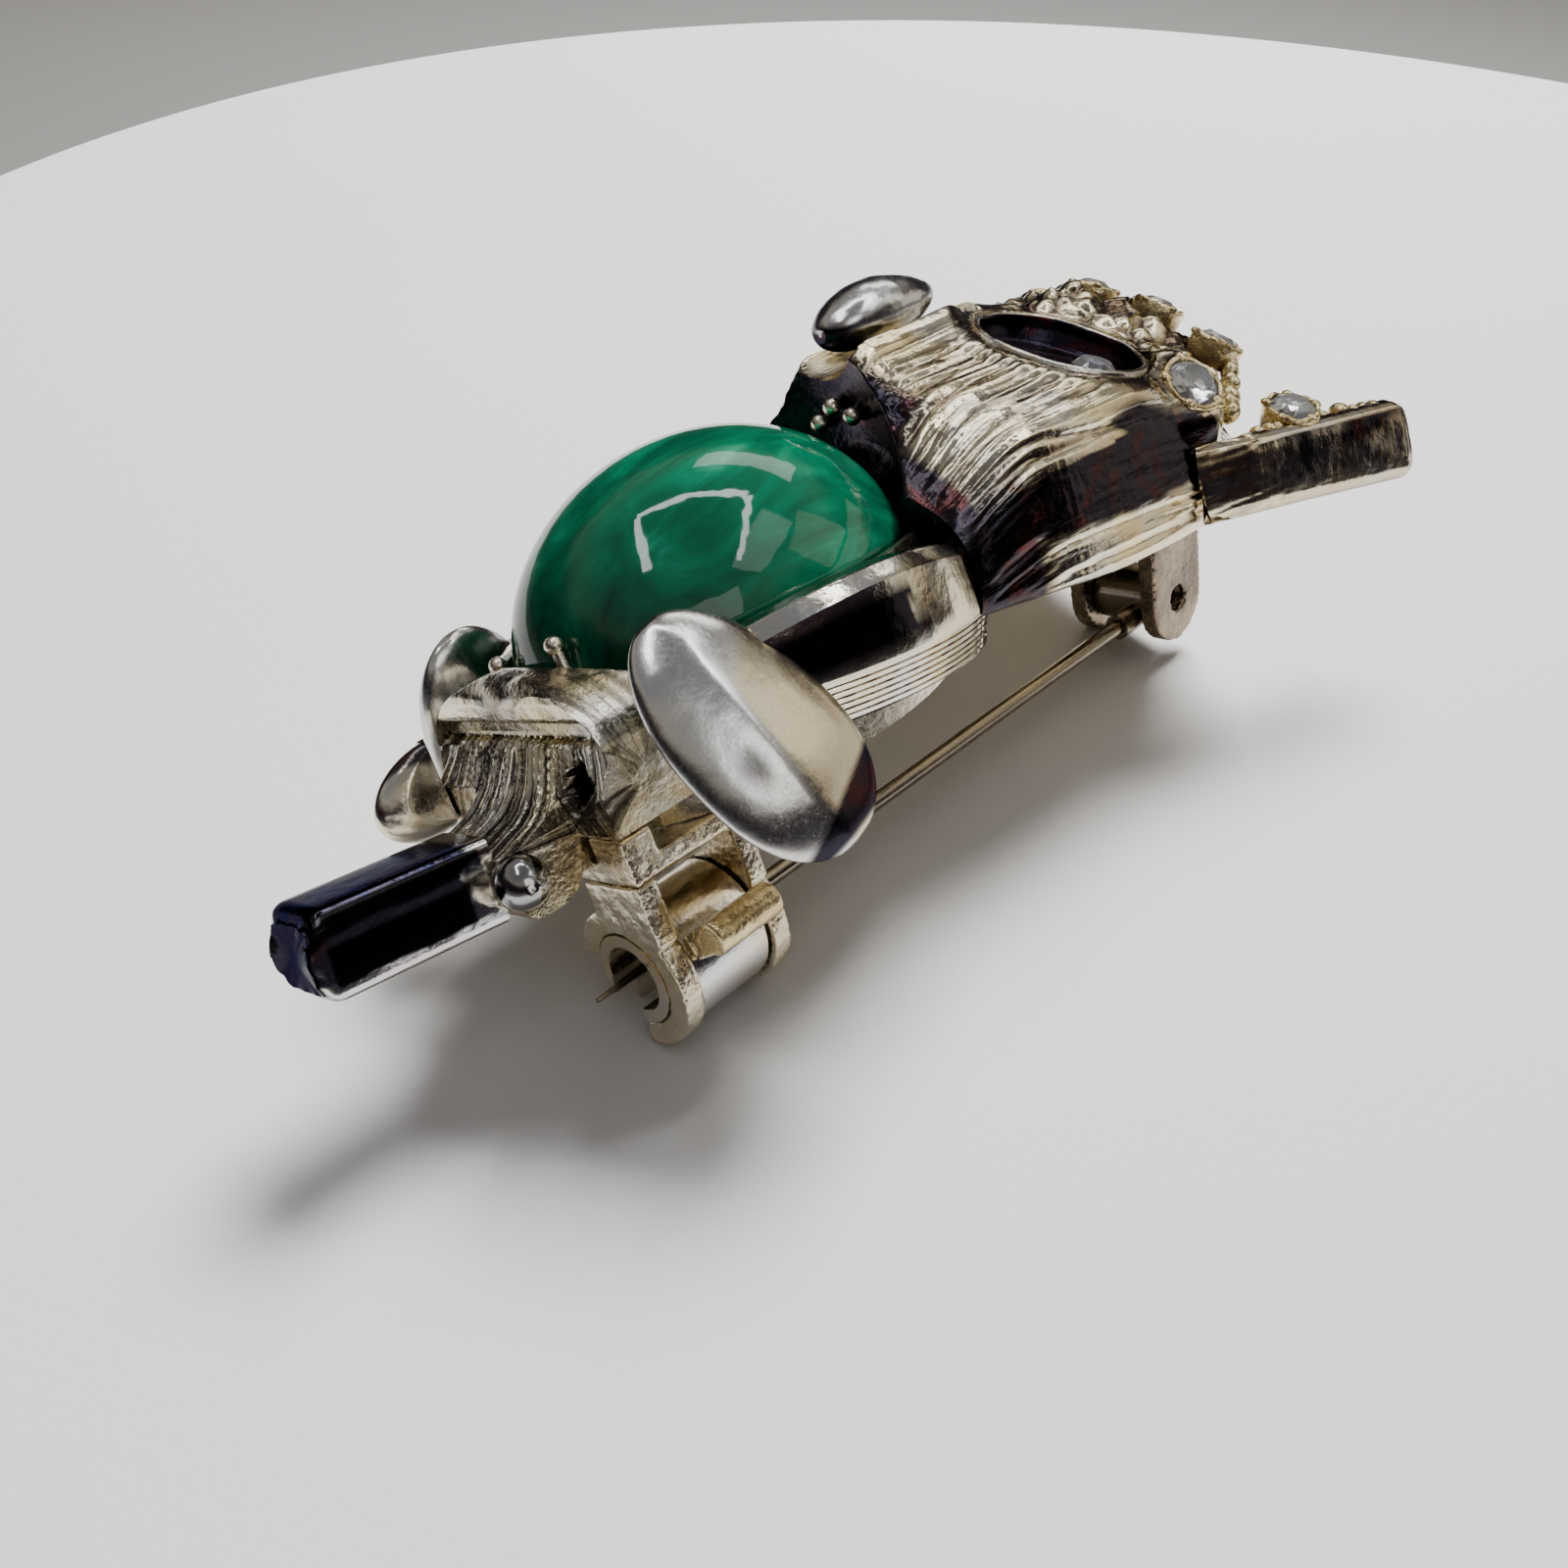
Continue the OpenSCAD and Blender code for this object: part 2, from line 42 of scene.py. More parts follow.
CL, SL = math.cos(LEAN), math.sin(LEAN)
PIN_MID = Vector((1.45, 5.8, -9.2))
FLOOR = -0.00205


def B(p):
    x, y, z = p[0] - PIN_MID[0], p[1] - PIN_MID[1], p[2] - PIN_MID[2]
    return Vector((CL * x - SL * z, y, SL * x + CL * z)) / 1000


# ---------------------------------------------------------------- camera
cam_data = bpy.data.cameras.new("camera")
cam = bpy.data.objects.new("camera", cam_data)
bpy.context.collection.objects.link(cam)
cam_data.sensor_width = 36
cam_data.lens = 33.3
cam_data.clip_start = 0.001
cam_data.clip_end = 10
right = Vector((0.73747, 0.67453, 0.034))
up = Vector((-0.44839, 0.45135, 0.77151))
back = Vector((0.50506, -0.58421, 0.6353))
cam.matrix_world = Matrix.Translation((0.025334, -0.037634, 0.035895)) @ Matrix(
    (
        (right.x, up.x, back.x, 0),
        (right.y, up.y, back.y, 0),
        (right.z, up.z, back.z, 0),
        (0, 0, 0, 1),
    )
)
bpy.context.scene.camera = cam


# ---------------------------------------------------------------- shader helpers
class Nodes:
    def __init__(self, name):
        self.mat = bpy.data.materials.new(name)
        self.mat.use_nodes = True
        self.t = self.mat.node_tree
        self.t.nodes.clear()
        self.out = self.t.nodes.new("ShaderNodeOutputMaterial")
        self.bsdf = self.t.nodes.new("ShaderNodeBsdfPrincipled")
        self.t.links.new(self.bsdf.outputs[0], self.out.inputs[0])
        self.co = self.t.nodes.new("ShaderNodeTexCoord").outputs["Object"]

    def link(self, a, b):
        self.t.links.new(a, b)

    def mapping(self, scale, rot=(0, 0, 0)):
        n = self.t.nodes.new("ShaderNodeMapping")
        # mm, turned back into the bird's own frame
        turn = self.t.nodes.new("ShaderNodeVectorRotate")
        turn.rotation_type = "Y_AXIS"
        turn.inputs["Angle"].default_value = LEAN
        self.link(self.co, turn.inputs[0])
        self.link(turn.outputs[0], n.inputs[0])
        n.inputs["Scale"].default_value = [1000 * s for s in scale]
        n.inputs["Rotation"].default_value = rot
        return n.outputs[0]

    def noise(self, vec, scale, detail=4.0, rough=0.55, distort=0.0):
        n = self.t.nodes.new("ShaderNodeTexNoise")
        self.link(vec, n.inputs["Vector"])
        n.inputs["Scale"].default_value = scale
        n.inputs["Detail"].default_value = detail
        n.inputs["Roughness"].default_value = rough
        n.inputs["Distortion"].default_value = distort
        return n.outputs[0]

    def ramp(self, fac, stops, mode="LINEAR"):
        n = self.t.nodes.new("ShaderNodeValToRGB")
        n.color_ramp.interpolation = mode
        el = n.color_ramp.elements
        while len(el) < len(stops):
            el.new(0.5)
        for e, (pos, col) in zip(el, stops):
            e.position = pos
            e.color = (*col, 1) if len(col) == 3 else col
        self.link(fac, n.inputs[0])
        return n.outputs[0]

    def mix(self, fac, a, b, blend="MIX"):
        n = self.t.nodes.new("ShaderNodeMix")
        n.data_type = "RGBA"
        n.blend_type = blend
        for sock, v in ((n.inputs[0], fac), (n.inputs[6], a), (n.inputs[7], b)):
            if hasattr(v, "is_output"):
                self.link(v, sock)
            elif isinstance(v, (int, float)):
                sock.default_value = v
            else:
                sock.default_value = (*v, 1) if len(v) == 3 else v
        return n.outputs[2]

    def range(self, v, a, b, c, d):
        n = self.t.nodes.new("ShaderNodeMapRange")
        self.link(v, n.inputs[0])
        for i, x in enumerate((a, b, c, d)):
            n.inputs[1 + i].default_value = x
        return n.outputs[0]

    def attr(self, name):
        n = self.t.nodes.new("ShaderNodeAttribute")
        n.attribute_name = name
        return n.outputs["Fac"]

    def bump(self, height, dist, strength=1.0, prev=None):
        n = self.t.nodes.new("ShaderNodeBump")
        n.inputs["Strength"].default_value = strength
        n.inputs["Distance"].default_value = dist
        self.link(height, n.inputs["Height"])
        if prev is not None:
            self.link(prev, n.inputs["Normal"])
        return n.outputs[0]

    def set(self, name, v):
        s = self.bsdf.inputs[name]
        if hasattr(v, "is_output"):
            self.link(v, s)
        else:
            s.default_value = (*v, 1) if isinstance(v, tuple) and len(v) == 3 else v


SILVER = (0.80, 0.79, 0.77)
PALE_GOLD = (0.80, 0.70, 0.50)
GOLD = (0.74, 0.56, 0.27)
BROWN = (0.10, 0.045, 0.02)
BLACK = (0.012, 0.01, 0.012)


def metal(name, a, b, rough=(0.08, 0.2), patch=0.3, grain=0.004, stain=0.35, streak=None, stain_and_shade_col=BROWN, fine=9.0, dark_reflection_col=(0.07, 0.012, 0.014)):
    m = Nodes(name)
    iso = m.mapping((1, 1, 1))
    n1 = m.noise(iso, patch, 3, 0.6)
    col = m.mix(m.range(n1, 0.4, 0.62, 0, 1), a, b)
    # warm: gold plating, and on the feet a painted reflection of a cream wall
    col = m.mix(m.attr("warm"), col, (0.80, 0.70, 0.48))
    n2 = m.noise(iso, patch * 4.3, 6, 0.7, 0.4)
    col = m.mix(m.range(n2, 0.62, 0.78, 0, stain), col, stain_and_shade_col)
    # darker in the grooves, and in the tail's hole a painted shade
    col = m.mix(m.range(m.attr("cav"), 0.25, 1, 0, 0.92), col, m.mix(0.5, stain_and_shade_col, BLACK))
    # painted reflection and painted shade: where the attribute dark is set the colour turns near black or to the dark
    # hue, for the dark room mirrored in polished faces and for shade under parts and in hollows
    dark = m.attr("dark")
    hue = m.mix(m.range(m.noise(iso, 0.5, 3, 0.6, 0.5), 0.52, 0.66, 0, 1), (0.020, 0.017, 0.030), dark_reflection_col)
    col = m.mix(m.range(dark, 0.1, 0.9, 0, 0.98), col, hue)
    m.set("Base Color", col)
    m.set("Metallic", 1.0)
    n3 = m.noise(iso, fine, 5, 0.6)
    m.set("Roughness", m.range(n3, 0.3, 0.7, rough[0], rough[1]))
    h = m.bump(n3, grain * 0.001)
    h = m.bump(m.noise(iso, 1.6, 3, 0.5), grain * 0.006, 1.0, h)
    if streak:
        sx, sy, sz, amp = streak
        ns = m.noise(m.mapping((sx, sy, sz)), 1.0, 4, 0.6, 0.3)
        h = m.bump(ns, amp * 0.001, 1.0, h)
    m.set("Normal", h)
    return m.mat


def emerald():
    m = Nodes("emerald")
    iso = m.mapping((1, 1, 1))
    warp = m.noise(iso, 0.12, 3, 0.5, 1.2)
    veil = m.noise(m.mapping((0.55, 0.2, 0.5), (0.3, 0.2, 0.7)), 0.75, 5, 0.55, 1.8)
    col = m.ramp(veil, [(0.28, (0.0, 0.030, 0.016)), (0.44, (0.0, 0.070, 0.034)), (0.56, (0.0, 0.105, 0.052)), (0.66, (0.004, 0.15, 0.08)), (0.78, (0.04, 0.26, 0.16))])
    col = m.mix(m.range(warp, 0.4, 0.6, 0, 0.5), col, (0.0, 0.04, 0.02))
    m.set("Base Color", col)
    m.set("Roughness", m.range(m.noise(iso, 5, 3), 0.3, 0.7, 0.03, 0.06))
    m.set("IOR", 1.55)
    m.set("Specular IOR Level", 0.4)
    m.set("Normal", m.bump(m.noise(iso, 0.5, 2), 0.00006, 0.5))
    return m.mat


def crystal():
    m = Nodes("crystal")
    iso = m.mapping((1, 1, 1))
    m.set("Base Color", m.mix(m.range(m.noise(iso, 1.5, 3), 0.4, 0.7, 0, 1), (0.50, 0.51, 0.54), (0.32, 0.30, 0.26)))
    m.set("Transmission Weight", 0.85)
    m.set("Roughness", m.range(m.noise(iso, 6, 3), 0.3, 0.7, 0.02, 0.1))
    m.set("IOR", 1.6)
    return m.mat


def table_top():
    m = Nodes("table_top")
    iso = m.mapping((1, 1, 1))
    n = m.noise(iso, 0.012, 2, 0.5)
    m.set("Base Color", m.mix(n, (0.60, 0.595, 0.60), (0.68, 0.67, 0.665)))
    m.set("Roughness", 0.42)
    m.set("Specular IOR Level", 0.35)
    m.set("Normal", m.bump(m.noise(iso, 2.2, 5, 0.7), 0.00006, 0.35))
    return m.mat


def backdrop():
    m = Nodes("backdrop")
    iso = m.mapping((1, 1, 1))
    m.set("Base Color", m.mix(m.noise(iso, 0.01, 2), (0.17, 0.165, 0.16), (0.20, 0.195, 0.19)))
    m.set("Roughness", 0.7)
    return m.mat


M_SILVER = metal("silver_plate", SILVER, PALE_GOLD, (0.10, 0.22), 0.22, 0.004, 0.25)
M_BALL = metal("ball_plate", (0.34, 0.34, 0.34), (0.46, 0.46, 0.45), (0.10, 0.18), 0.4, 0.002, 0.1)
M_FOOT = metal("foot_plate", (0.66, 0.67, 0.67), (0.76, 0.75, 0.72), (0.16, 0.28), 0.35, 0.002, 0.05)
M_GOLD = metal("gold_plate", (0.88, 0.80, 0.62), (0.84, 0.78, 0.66), (0.2, 0.34), 0.35, 0.008, 0.75, None, (0.14, 0.06, 0.03))
M_CAST = metal("cast_plate", (0.74, 0.71, 0.64), (0.70, 0.60, 0.38), (0.12, 0.3), 0.35, 0.012, 0.45, (2.2, 0.35, 2.2, 0.02), (0.045, 0.03, 0.02))
# silver, painted dark navy where the attribute dark is set: a painted reflection of the dark room
M_BAR_MIRROR = metal("dark_plate", (0.80, 0.80, 0.80), (0.72, 0.70, 0.70), (0.05, 0.12), 0.3, 0.003, 0.2, None, (0.09, 0.01, 0.012), 9.0, (0.008, 0.012, 0.045))
# painted shade: the pin, its eye and the rivet get a dark brown, for the shadow under the brooch
M_PIN = metal("pin_plate", (0.26, 0.22, 0.16), (0.22, 0.19, 0.15), (0.16, 0.28), 0.3, 0.002, 0.3)
M_BROW = metal("brow_plate", (0.78, 0.66, 0.38), (0.62, 0.48, 0.24), (0.14, 0.3), 0.5, 0.02, 0.9, None, (0.05, 0.025, 0.012))
M_CATCH = metal("catch_plate", (0.84, 0.77, 0.60), (0.74, 0.62, 0.42), (0.16, 0.3), 0.45, 0.02, 0.9, None, (0.15, 0.05, 0.025), 5.0)
M_LUG = metal("lug_plate", (0.17, 0.13, 0.10), (0.32, 0.26, 0.18), (0.18, 0.32), 0.5, 0.015, 0.7, None, (0.06, 0.03, 0.02), 5.0)
# near black: painted shade and painted reflection, meant for the eye hollows
M_HOLLOW = metal("hollow_plate", (0.16, 0.13, 0.10), (0.05, 0.04, 0.035), (0.25, 0.5), 0.6, 0.02, 0.7)
M_WING = metal("wing_plate", (0.82, 0.81, 0.78), (0.84, 0.77, 0.58), (0.08, 0.18), 0.35, 0.004, 0.3, None, (0.10, 0.012, 0.015))
M_EAR = metal("ear_plate", (0.74, 0.72, 0.70), (0.72, 0.60, 0.38), (0.08, 0.18), 0.3, 0.004, 0.4, None, (0.10, 0.03, 0.012), 9.0, (0.075, 0.02, 0.022))
M_HEAD = metal("head_plate", (0.86, 0.80, 0.66), (0.84, 0.70, 0.42), (0.08, 0.2), 0.30, 0.005, 0.3, (3.4, 0.16, 3.4, 0.03))
# near black where a part marks it dark, as inside the eye hollows: painted shade and painted reflection
M_DISH = metal("dish_plate", (0.70, 0.68, 0.64), (0.62, 0.55, 0.42), (0.12, 0.3), 0.6, 0.01, 0.5, None, (0.01, 0.008, 0.008))
for worn in (M_BAR_MIRROR, M_EAR, M_WING, M_FOOT):
    worn.node_tree.nodes["Principled BSDF"].inputs["Specular Tint"].default_value = (0.4, 0.4, 0.42, 1)
M_EMERALD = emerald()
M_CRYSTAL = crystal()

# ---------------------------------------------------------------- room, lights
def plane(name, size, mat, loc, rot=(0, 0, 0)):
    bpy.ops.mesh.primitive_plane_add(size=1, location=loc, rotation=rot)
    o = bpy.context.object
    o.name = name
    o.scale = (size[0], size[1], 1)
    o.data.materials.append(mat)
    return o


bpy.ops.mesh.primitive_cylinder_add(vertices=256, radius=0.094, depth=0.004, location=(-0.0164, 0.0507, FLOOR - 0.002))
disc = bpy.context.object
disc.name = "turntable"
disc.data.materials.append(table_top())
bev = disc.modifiers.new("bevel", "BEVEL")
bev.width = 0.0008
bev.segments = 4
bev.limit_method = "ANGLE"
plane("desk", (3, 3), backdrop(), (0, 0, FLOOR - 0.03))


def area(name, loc, target, size, power, color=(1, 1, 1)):
    l = bpy.data.lights.new(name, "AREA")
    l.shape = "RECTANGLE"
    l.size, l.size_y = size
    l.energy = power
    l.color = color
    o = bpy.data.objects.new(name, l)
    bpy.context.collection.objects.link(o)
    o.location = loc
    o.rotation_mode = "QUATERNION"
    o.rotation_quaternion = (Vector(loc) - Vector(target)).to_track_quat("Z", "Y")
    return o


key = area("key", (-0.10, 0.20, 0.33), (0, 0, 0), (0.18, 0.15), 4.9, (1, 0.99, 0.965))
key.visible_glossy = False
fill = area("fill", (0.10, -0.10, 0.36), (0, 0.02, 0), (0.24, 0.24), 0.12, (0.98, 0.985, 1))
fill.visible_glossy = False


def card(name, x, y, z, size, turn, power, color=(1, 1, 1)):
    """A panel overhead that is only seen mirrored in the metal and the stone."""
    l = bpy.data.lights.new(name, "AREA")
    l.shape = "RECTANGLE"
    l.size, l.size_y = size
    l.energy = power
    l.color = color
    o = bpy.data.objects.new(name, l)
    bpy.context.collection.objects.link(o)
    o.location = (x, y, z)
    o.rotation_euler = (0, 0, math.radians(turn))
    o.visible_diffuse = False
    return o


# the bars of a window, and a paler pane beside them
WX, WY, WZ = -0.0036, 0.0218, 0.25
card("window_top", WX - 0.076, WY + 0.045, WZ, (0.196, 0.018), 49.9, 0.13)
card("window_left", WX - 0.063, WY - 0.075, WZ, (0.170, 0.014), 149.2, 0.085)
card("window_right", WX + 0.063, WY + 0.075, WZ, (0.170, 0.014), 149.2, 0.085)
card("pane", 0.125, 0.118, WZ, (0.10, 0.16), 40, 0.07)
card("sky", -0.15, 0.28, 0.26, (0.22, 0.12), 40, 0.24, (1, 0.98, 0.95))
# walls of the room, seen in the sides of the metal
for name, at, size, power, color in (
    ("wall_right", (0.15, 0.25, 0.20), (0.13, 0.13), 0.045, (1, 0.92, 0.74)),
    ("wall_low", (0.148, 0.317, 0.08), (0.27, 0.12), 0.075, (1, 0.92, 0.76)),
    ("wall_front", (0.23, -0.05, 0.19), (0.12, 0.12), 0.070, (1, 0.99, 0.97)),
):
    area(name, at, (0, 0, 0), size, power, color).visible_diffuse = False

world = bpy.data.worlds.new("room")
bpy.context.scene.world = world
world.use_nodes = True
wt = world.node_tree
wt.nodes.clear()
w_out = wt.nodes.new("ShaderNodeOutputWorld")
w_bg = wt.nodes.new("ShaderNodeBackground")
w_co = wt.nodes.new("ShaderNodeTexCoord")
w_sep = wt.nodes.new("ShaderNodeSeparateXYZ")
w_ramp = wt.nodes.new("ShaderNodeValToRGB")
w_noise = wt.nodes.new("ShaderNodeTexNoise")
w_add = wt.nodes.new("ShaderNodeMath")
w_mul = wt.nodes.new("ShaderNodeMath")
wt.links.new(w_co.outputs["Generated"], w_sep.inputs[0])
wt.links.new(w_co.outputs["Generated"], w_noise.inputs["Vector"])
w_noise.inputs["Scale"].default_value = 2.0
w_noise.inputs["Detail"].default_value = 3
w_mul.operation = "MULTIPLY_ADD"
wt.links.new(w_noise.outputs[0], w_mul.inputs[0])
w_mul.inputs[1].default_value = 0.35
w_mul.inputs[2].default_value = -0.175
w_add.operation = "ADD"
wt.links.new(w_sep.outputs["Z"], w_add.inputs[0])
wt.links.new(w_mul.outputs[0], w_add.inputs[1])
wt.links.new(w_add.outputs[0], w_ramp.inputs[0])
e = w_ramp.color_ramp.elements
e[0].position = 0.0
e[0].color = (0.05, 0.045, 0.055, 1)
e[1].position = 1.0
e[1].color = (0.20, 0.20, 0.21, 1)
for pos, c in ((0.16, (0.012, 0.012, 0.022)), (0.36, (0.03, 0.012, 0.014)), (0.46, (0.10, 0.085, 0.075)), (0.56, (0.42, 0.39, 0.34)), (0.72, (0.26, 0.26, 0.27))):
    k = e.new(pos)
    k.color = (*c, 1)
wt.links.new(w_ramp.outputs[0], w_bg.inputs[0])
w_bg.inputs[1].default_value = 0.85
wt.links.new(w_bg.outputs[0], w_out.inputs[0])

# ---------------------------------------------------------------- mesh helpers (all in the bird's frame, mm)
def smooth01(a, b, x):
    t = min(1.0, max(0.0, (x - a) / (b - a)))
    return t * t * (3 - 2 * t)


def n3(x, y, z, octaves=3):
    return noise.fractal(Vector((x, y, z)), 0.9, 2.1, octaves)


def ridge(v):
    """0 on the flat, 1 in the bottom of a groove."""
    return max(0.0, 1.0 - abs(v) * 3.2)


def rot_xy(ax, ay):
    return Matrix.Rotation(math.radians(ay), 3, "Y") @ Matrix.Rotation(math.radians(ax), 3, "X")


def build(name, verts, faces, mat, nodes, body="brooch", cav=None, angle=40, flat=False):
    """cav holds, for each point, how deep in a groove it is, how dark it is painted (painted reflection of the dark
    room and painted shade) and how golden (on the feet a painted reflection of a cream wall).
    """
    me = bpy.data.meshes.new(name)
    me.from_pydata([B(v) for v in verts], [], faces)
    if cav:
        pairs = [(tuple(c) if isinstance(c, tuple) else (c,)) + (0.0, 0.0) for c in cav]
        for k, key in enumerate(("cav", "dark", "warm")):
            a = me.attributes.new(key, "FLOAT", "POINT")
            a.data.foreach_set("value", [c[k] for c in pairs])
    bm = bmesh.new()
    bm.from_mesh(me)
    bmesh.ops.remove_doubles(bm, verts=bm.verts, dist=2e-7)
    bmesh.ops.dissolve_degenerate(bm, dist=1e-8, edges=bm.edges)
    bmesh.ops.recalc_face_normals(bm, faces=bm.faces)
    for f in bm.faces:
        f.smooth = not flat
    if not flat:
        lim = math.radians(angle)
        for e in bm.edges:
            if len(e.link_faces) == 2 and e.calc_face_angle(0) > lim:
                e.smooth = False
    bm.to_mesh(me)
    bm.free()
    me.materials.append(mat)
    o = bpy.data.objects.new(name, me)
    bpy.context.collection.objects.link(o)
    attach(o, body)
    if nodes:
        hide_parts(*nodes)
    return o


def loft(fn, nu, nv, base=0):
    """fn(u, v) -> (point, cav); u goes round, v goes along."""
    vs, cv, fs = [], [], []
    for j in range(nv + 1):
        for i in range(nu):
            p, c = fn(i / nu, j / nv)
            vs.append(p)
            cv.append(c)
    for j in range(nv):
        for i in range(nu):
            a, b = j * nu + i, j * nu + (i + 1) % nu
            fs.append((base + a, base + b, base + b + nu, base + a + nu))
    for j in (0, nv):
        ring = [Vector(p) for p in vs[j * nu:(j + 1) * nu]]
        c = sum(ring, Vector()) / nu
        last = [j * nu + i for i in range(nu)]
        # the end closes through rings that grow smoother towards its middle
        for size, reach in ((0.92, nu // 60), (0.75, nu // 20), (0.45, nu // 8)):
            here = []
            for i in range(nu):
                window = [ring[(i + w) % nu] for w in range(-reach, reach + 1)]
                here.append(len(vs))
                vs.append(c + (sum(window, Vector()) / len(window) - c) * size)
                cv.append(cv[j * nu + i])
            for i in range(nu):
                n = (i + 1) % nu
                fs.append((base + last[i], base + last[n], base + here[n], base + here[i]))
            last = here
        vs.append(c)
        cv.append(cv[j * nu])
        for i in range(nu):
            fs.append((base + len(vs) - 1, base + last[i], base + last[(i + 1) % nu]))
    return vs, fs, cv


def join(*parts):
    vs, fs, cv = [], [], []
    for v, f, c in parts:
        n = len(vs)
        vs += v
        fs += [tuple(n + i for i in q) for q in f]
        cv += c
    return vs, fs, cv


def chaikin(poly, times):
    for _ in range(times):
        out = []
        for i, p in enumerate(poly):
            q = poly[(i + 1) % len(poly)]
            out.append(tuple(0.8 * a + 0.2 * b for a, b in zip(p, q)))
            out.append(tuple(0.2 * a + 0.8 * b for a, b in zip(p, q)))
        poly = out
    return poly


def resample(poly, n):
    """n points at even steps round a closed outline."""
    d = [0.0]
    for i, p in enumerate(poly):
        q = poly[(i + 1) % len(poly)]
        d.append(d[-1] + math.dist(p, q))
    out, k = [], 0
    for i in range(n):
        s = d[-1] * i / n
        while d[k + 1] < s:
            k += 1
        t = (s - d[k]) / max(1e-9, d[k + 1] - d[k])
        p, q = poly[k], poly[(k + 1) % len(poly)]
        out.append(tuple(a + (b - a) * t for a, b in zip(p, q)))
    return out


def ball(c, r, nu=20, nv=12, squash=(1, 1, 1), turn=None):
    c = Vector(c)

    def fn(u, v):
        a, b = 2 * math.pi * u, math.pi * (v - 0.5) * 0.985
        p = Vector((r * squash[0] * math.cos(a) * math.cos(b), r * squash[1] * math.sin(a) * math.cos(b), r * squash[2] * math.sin(b)))
        if turn:
            p = turn @ p
        return c + p, 0.0

    return loft(fn, nu, nv)


def mirrored(part):
    v, f, c = part
    return [Vector((-p[0], p[1], p[2])) for p in v], [tuple(reversed(q)) for q in f], c


CUP_A, CUP_B = 8.75, 6.45


def off_cup(p):
    """Keeps a point of the head or the tail out of the cup's room."""
    x, y, z = p
    if abs(x) < CUP_B:
        lim = CUP_A * math.sqrt(1 - (x / CUP_B) ** 2)
        if abs(y) < lim:
            return Vector((x, math.copysign(lim, y), z))
    return Vector(p)


# ---- green stone
TILT = Matrix.Rotation(math.radians(-9), 3, "Y")


def stone(u, v):
    a = 2 * math.pi * u
    if v < 0.12:
        k, z = 0.93 + 0.07 * smooth01(0, 0.12, v), -1.2 + 1.2 * v / 0.12
    else:
        t = math.radians(88.5 * (v - 0.12) / 0.88)
        k, z = math.cos(t), 6.4 * math.sin(t)
    return TILT @ Vector((5.9 * k * math.cos(a), 8.2 * k * math.sin(a), z)), 0.0


v, f, c = loft(stone, 200, 90)
build("green_stone", v, f, M_EMERALD, ["cabochon"], angle=60)

# ---- beak
BEAK_MID = Vector((0, 12.1, 7.62))


def beak(u, v):
    s = -0.985 + 1.97 * v
    k = math.sqrt(1 - s * s) if s < 0 else math.sqrt(max(0.0, 1 - s ** 1.6))
    a = 2 * math.pi * u
    droop = -0.55 * smooth01(-0.2, -1.0, s)
    d = 0.03 * n3(s * 3, math.sin(a), math.cos(a), 3)
    p = BEAK_MID + Vector(((1.6 * k - d) * math.sin(a), 3.28 * s, -0.1 * s + droop * 0.4 + (1.28 * k - d) * math.cos(a) * (1 - 0.12 * max(0.0, s))))
    # painted shade: the drooping tip and its underside are painted dark
    return p, (0.0, 0.9 * smooth01(-0.66, -0.9, s + 0.25 * math.cos(a)))


v, f, c = loft(beak, 72, 60)
build("beak_bulb", v, f, M_FOOT, ["beak"], cav=c, angle=70)

# ---- feet
FOOT_MID = Vector((7.65, -6.4, -1.75))
FOOT_AX = Vector((0.388, 0.255, -0.886)).normalized()
FOOT_W = Vector((0.02, 0.958, 0.285)).normalized()
FOOT_N = FOOT_W.cross(FOOT_AX)
FOOT_SIDE = 1 if FOOT_N.x > 0 else -1


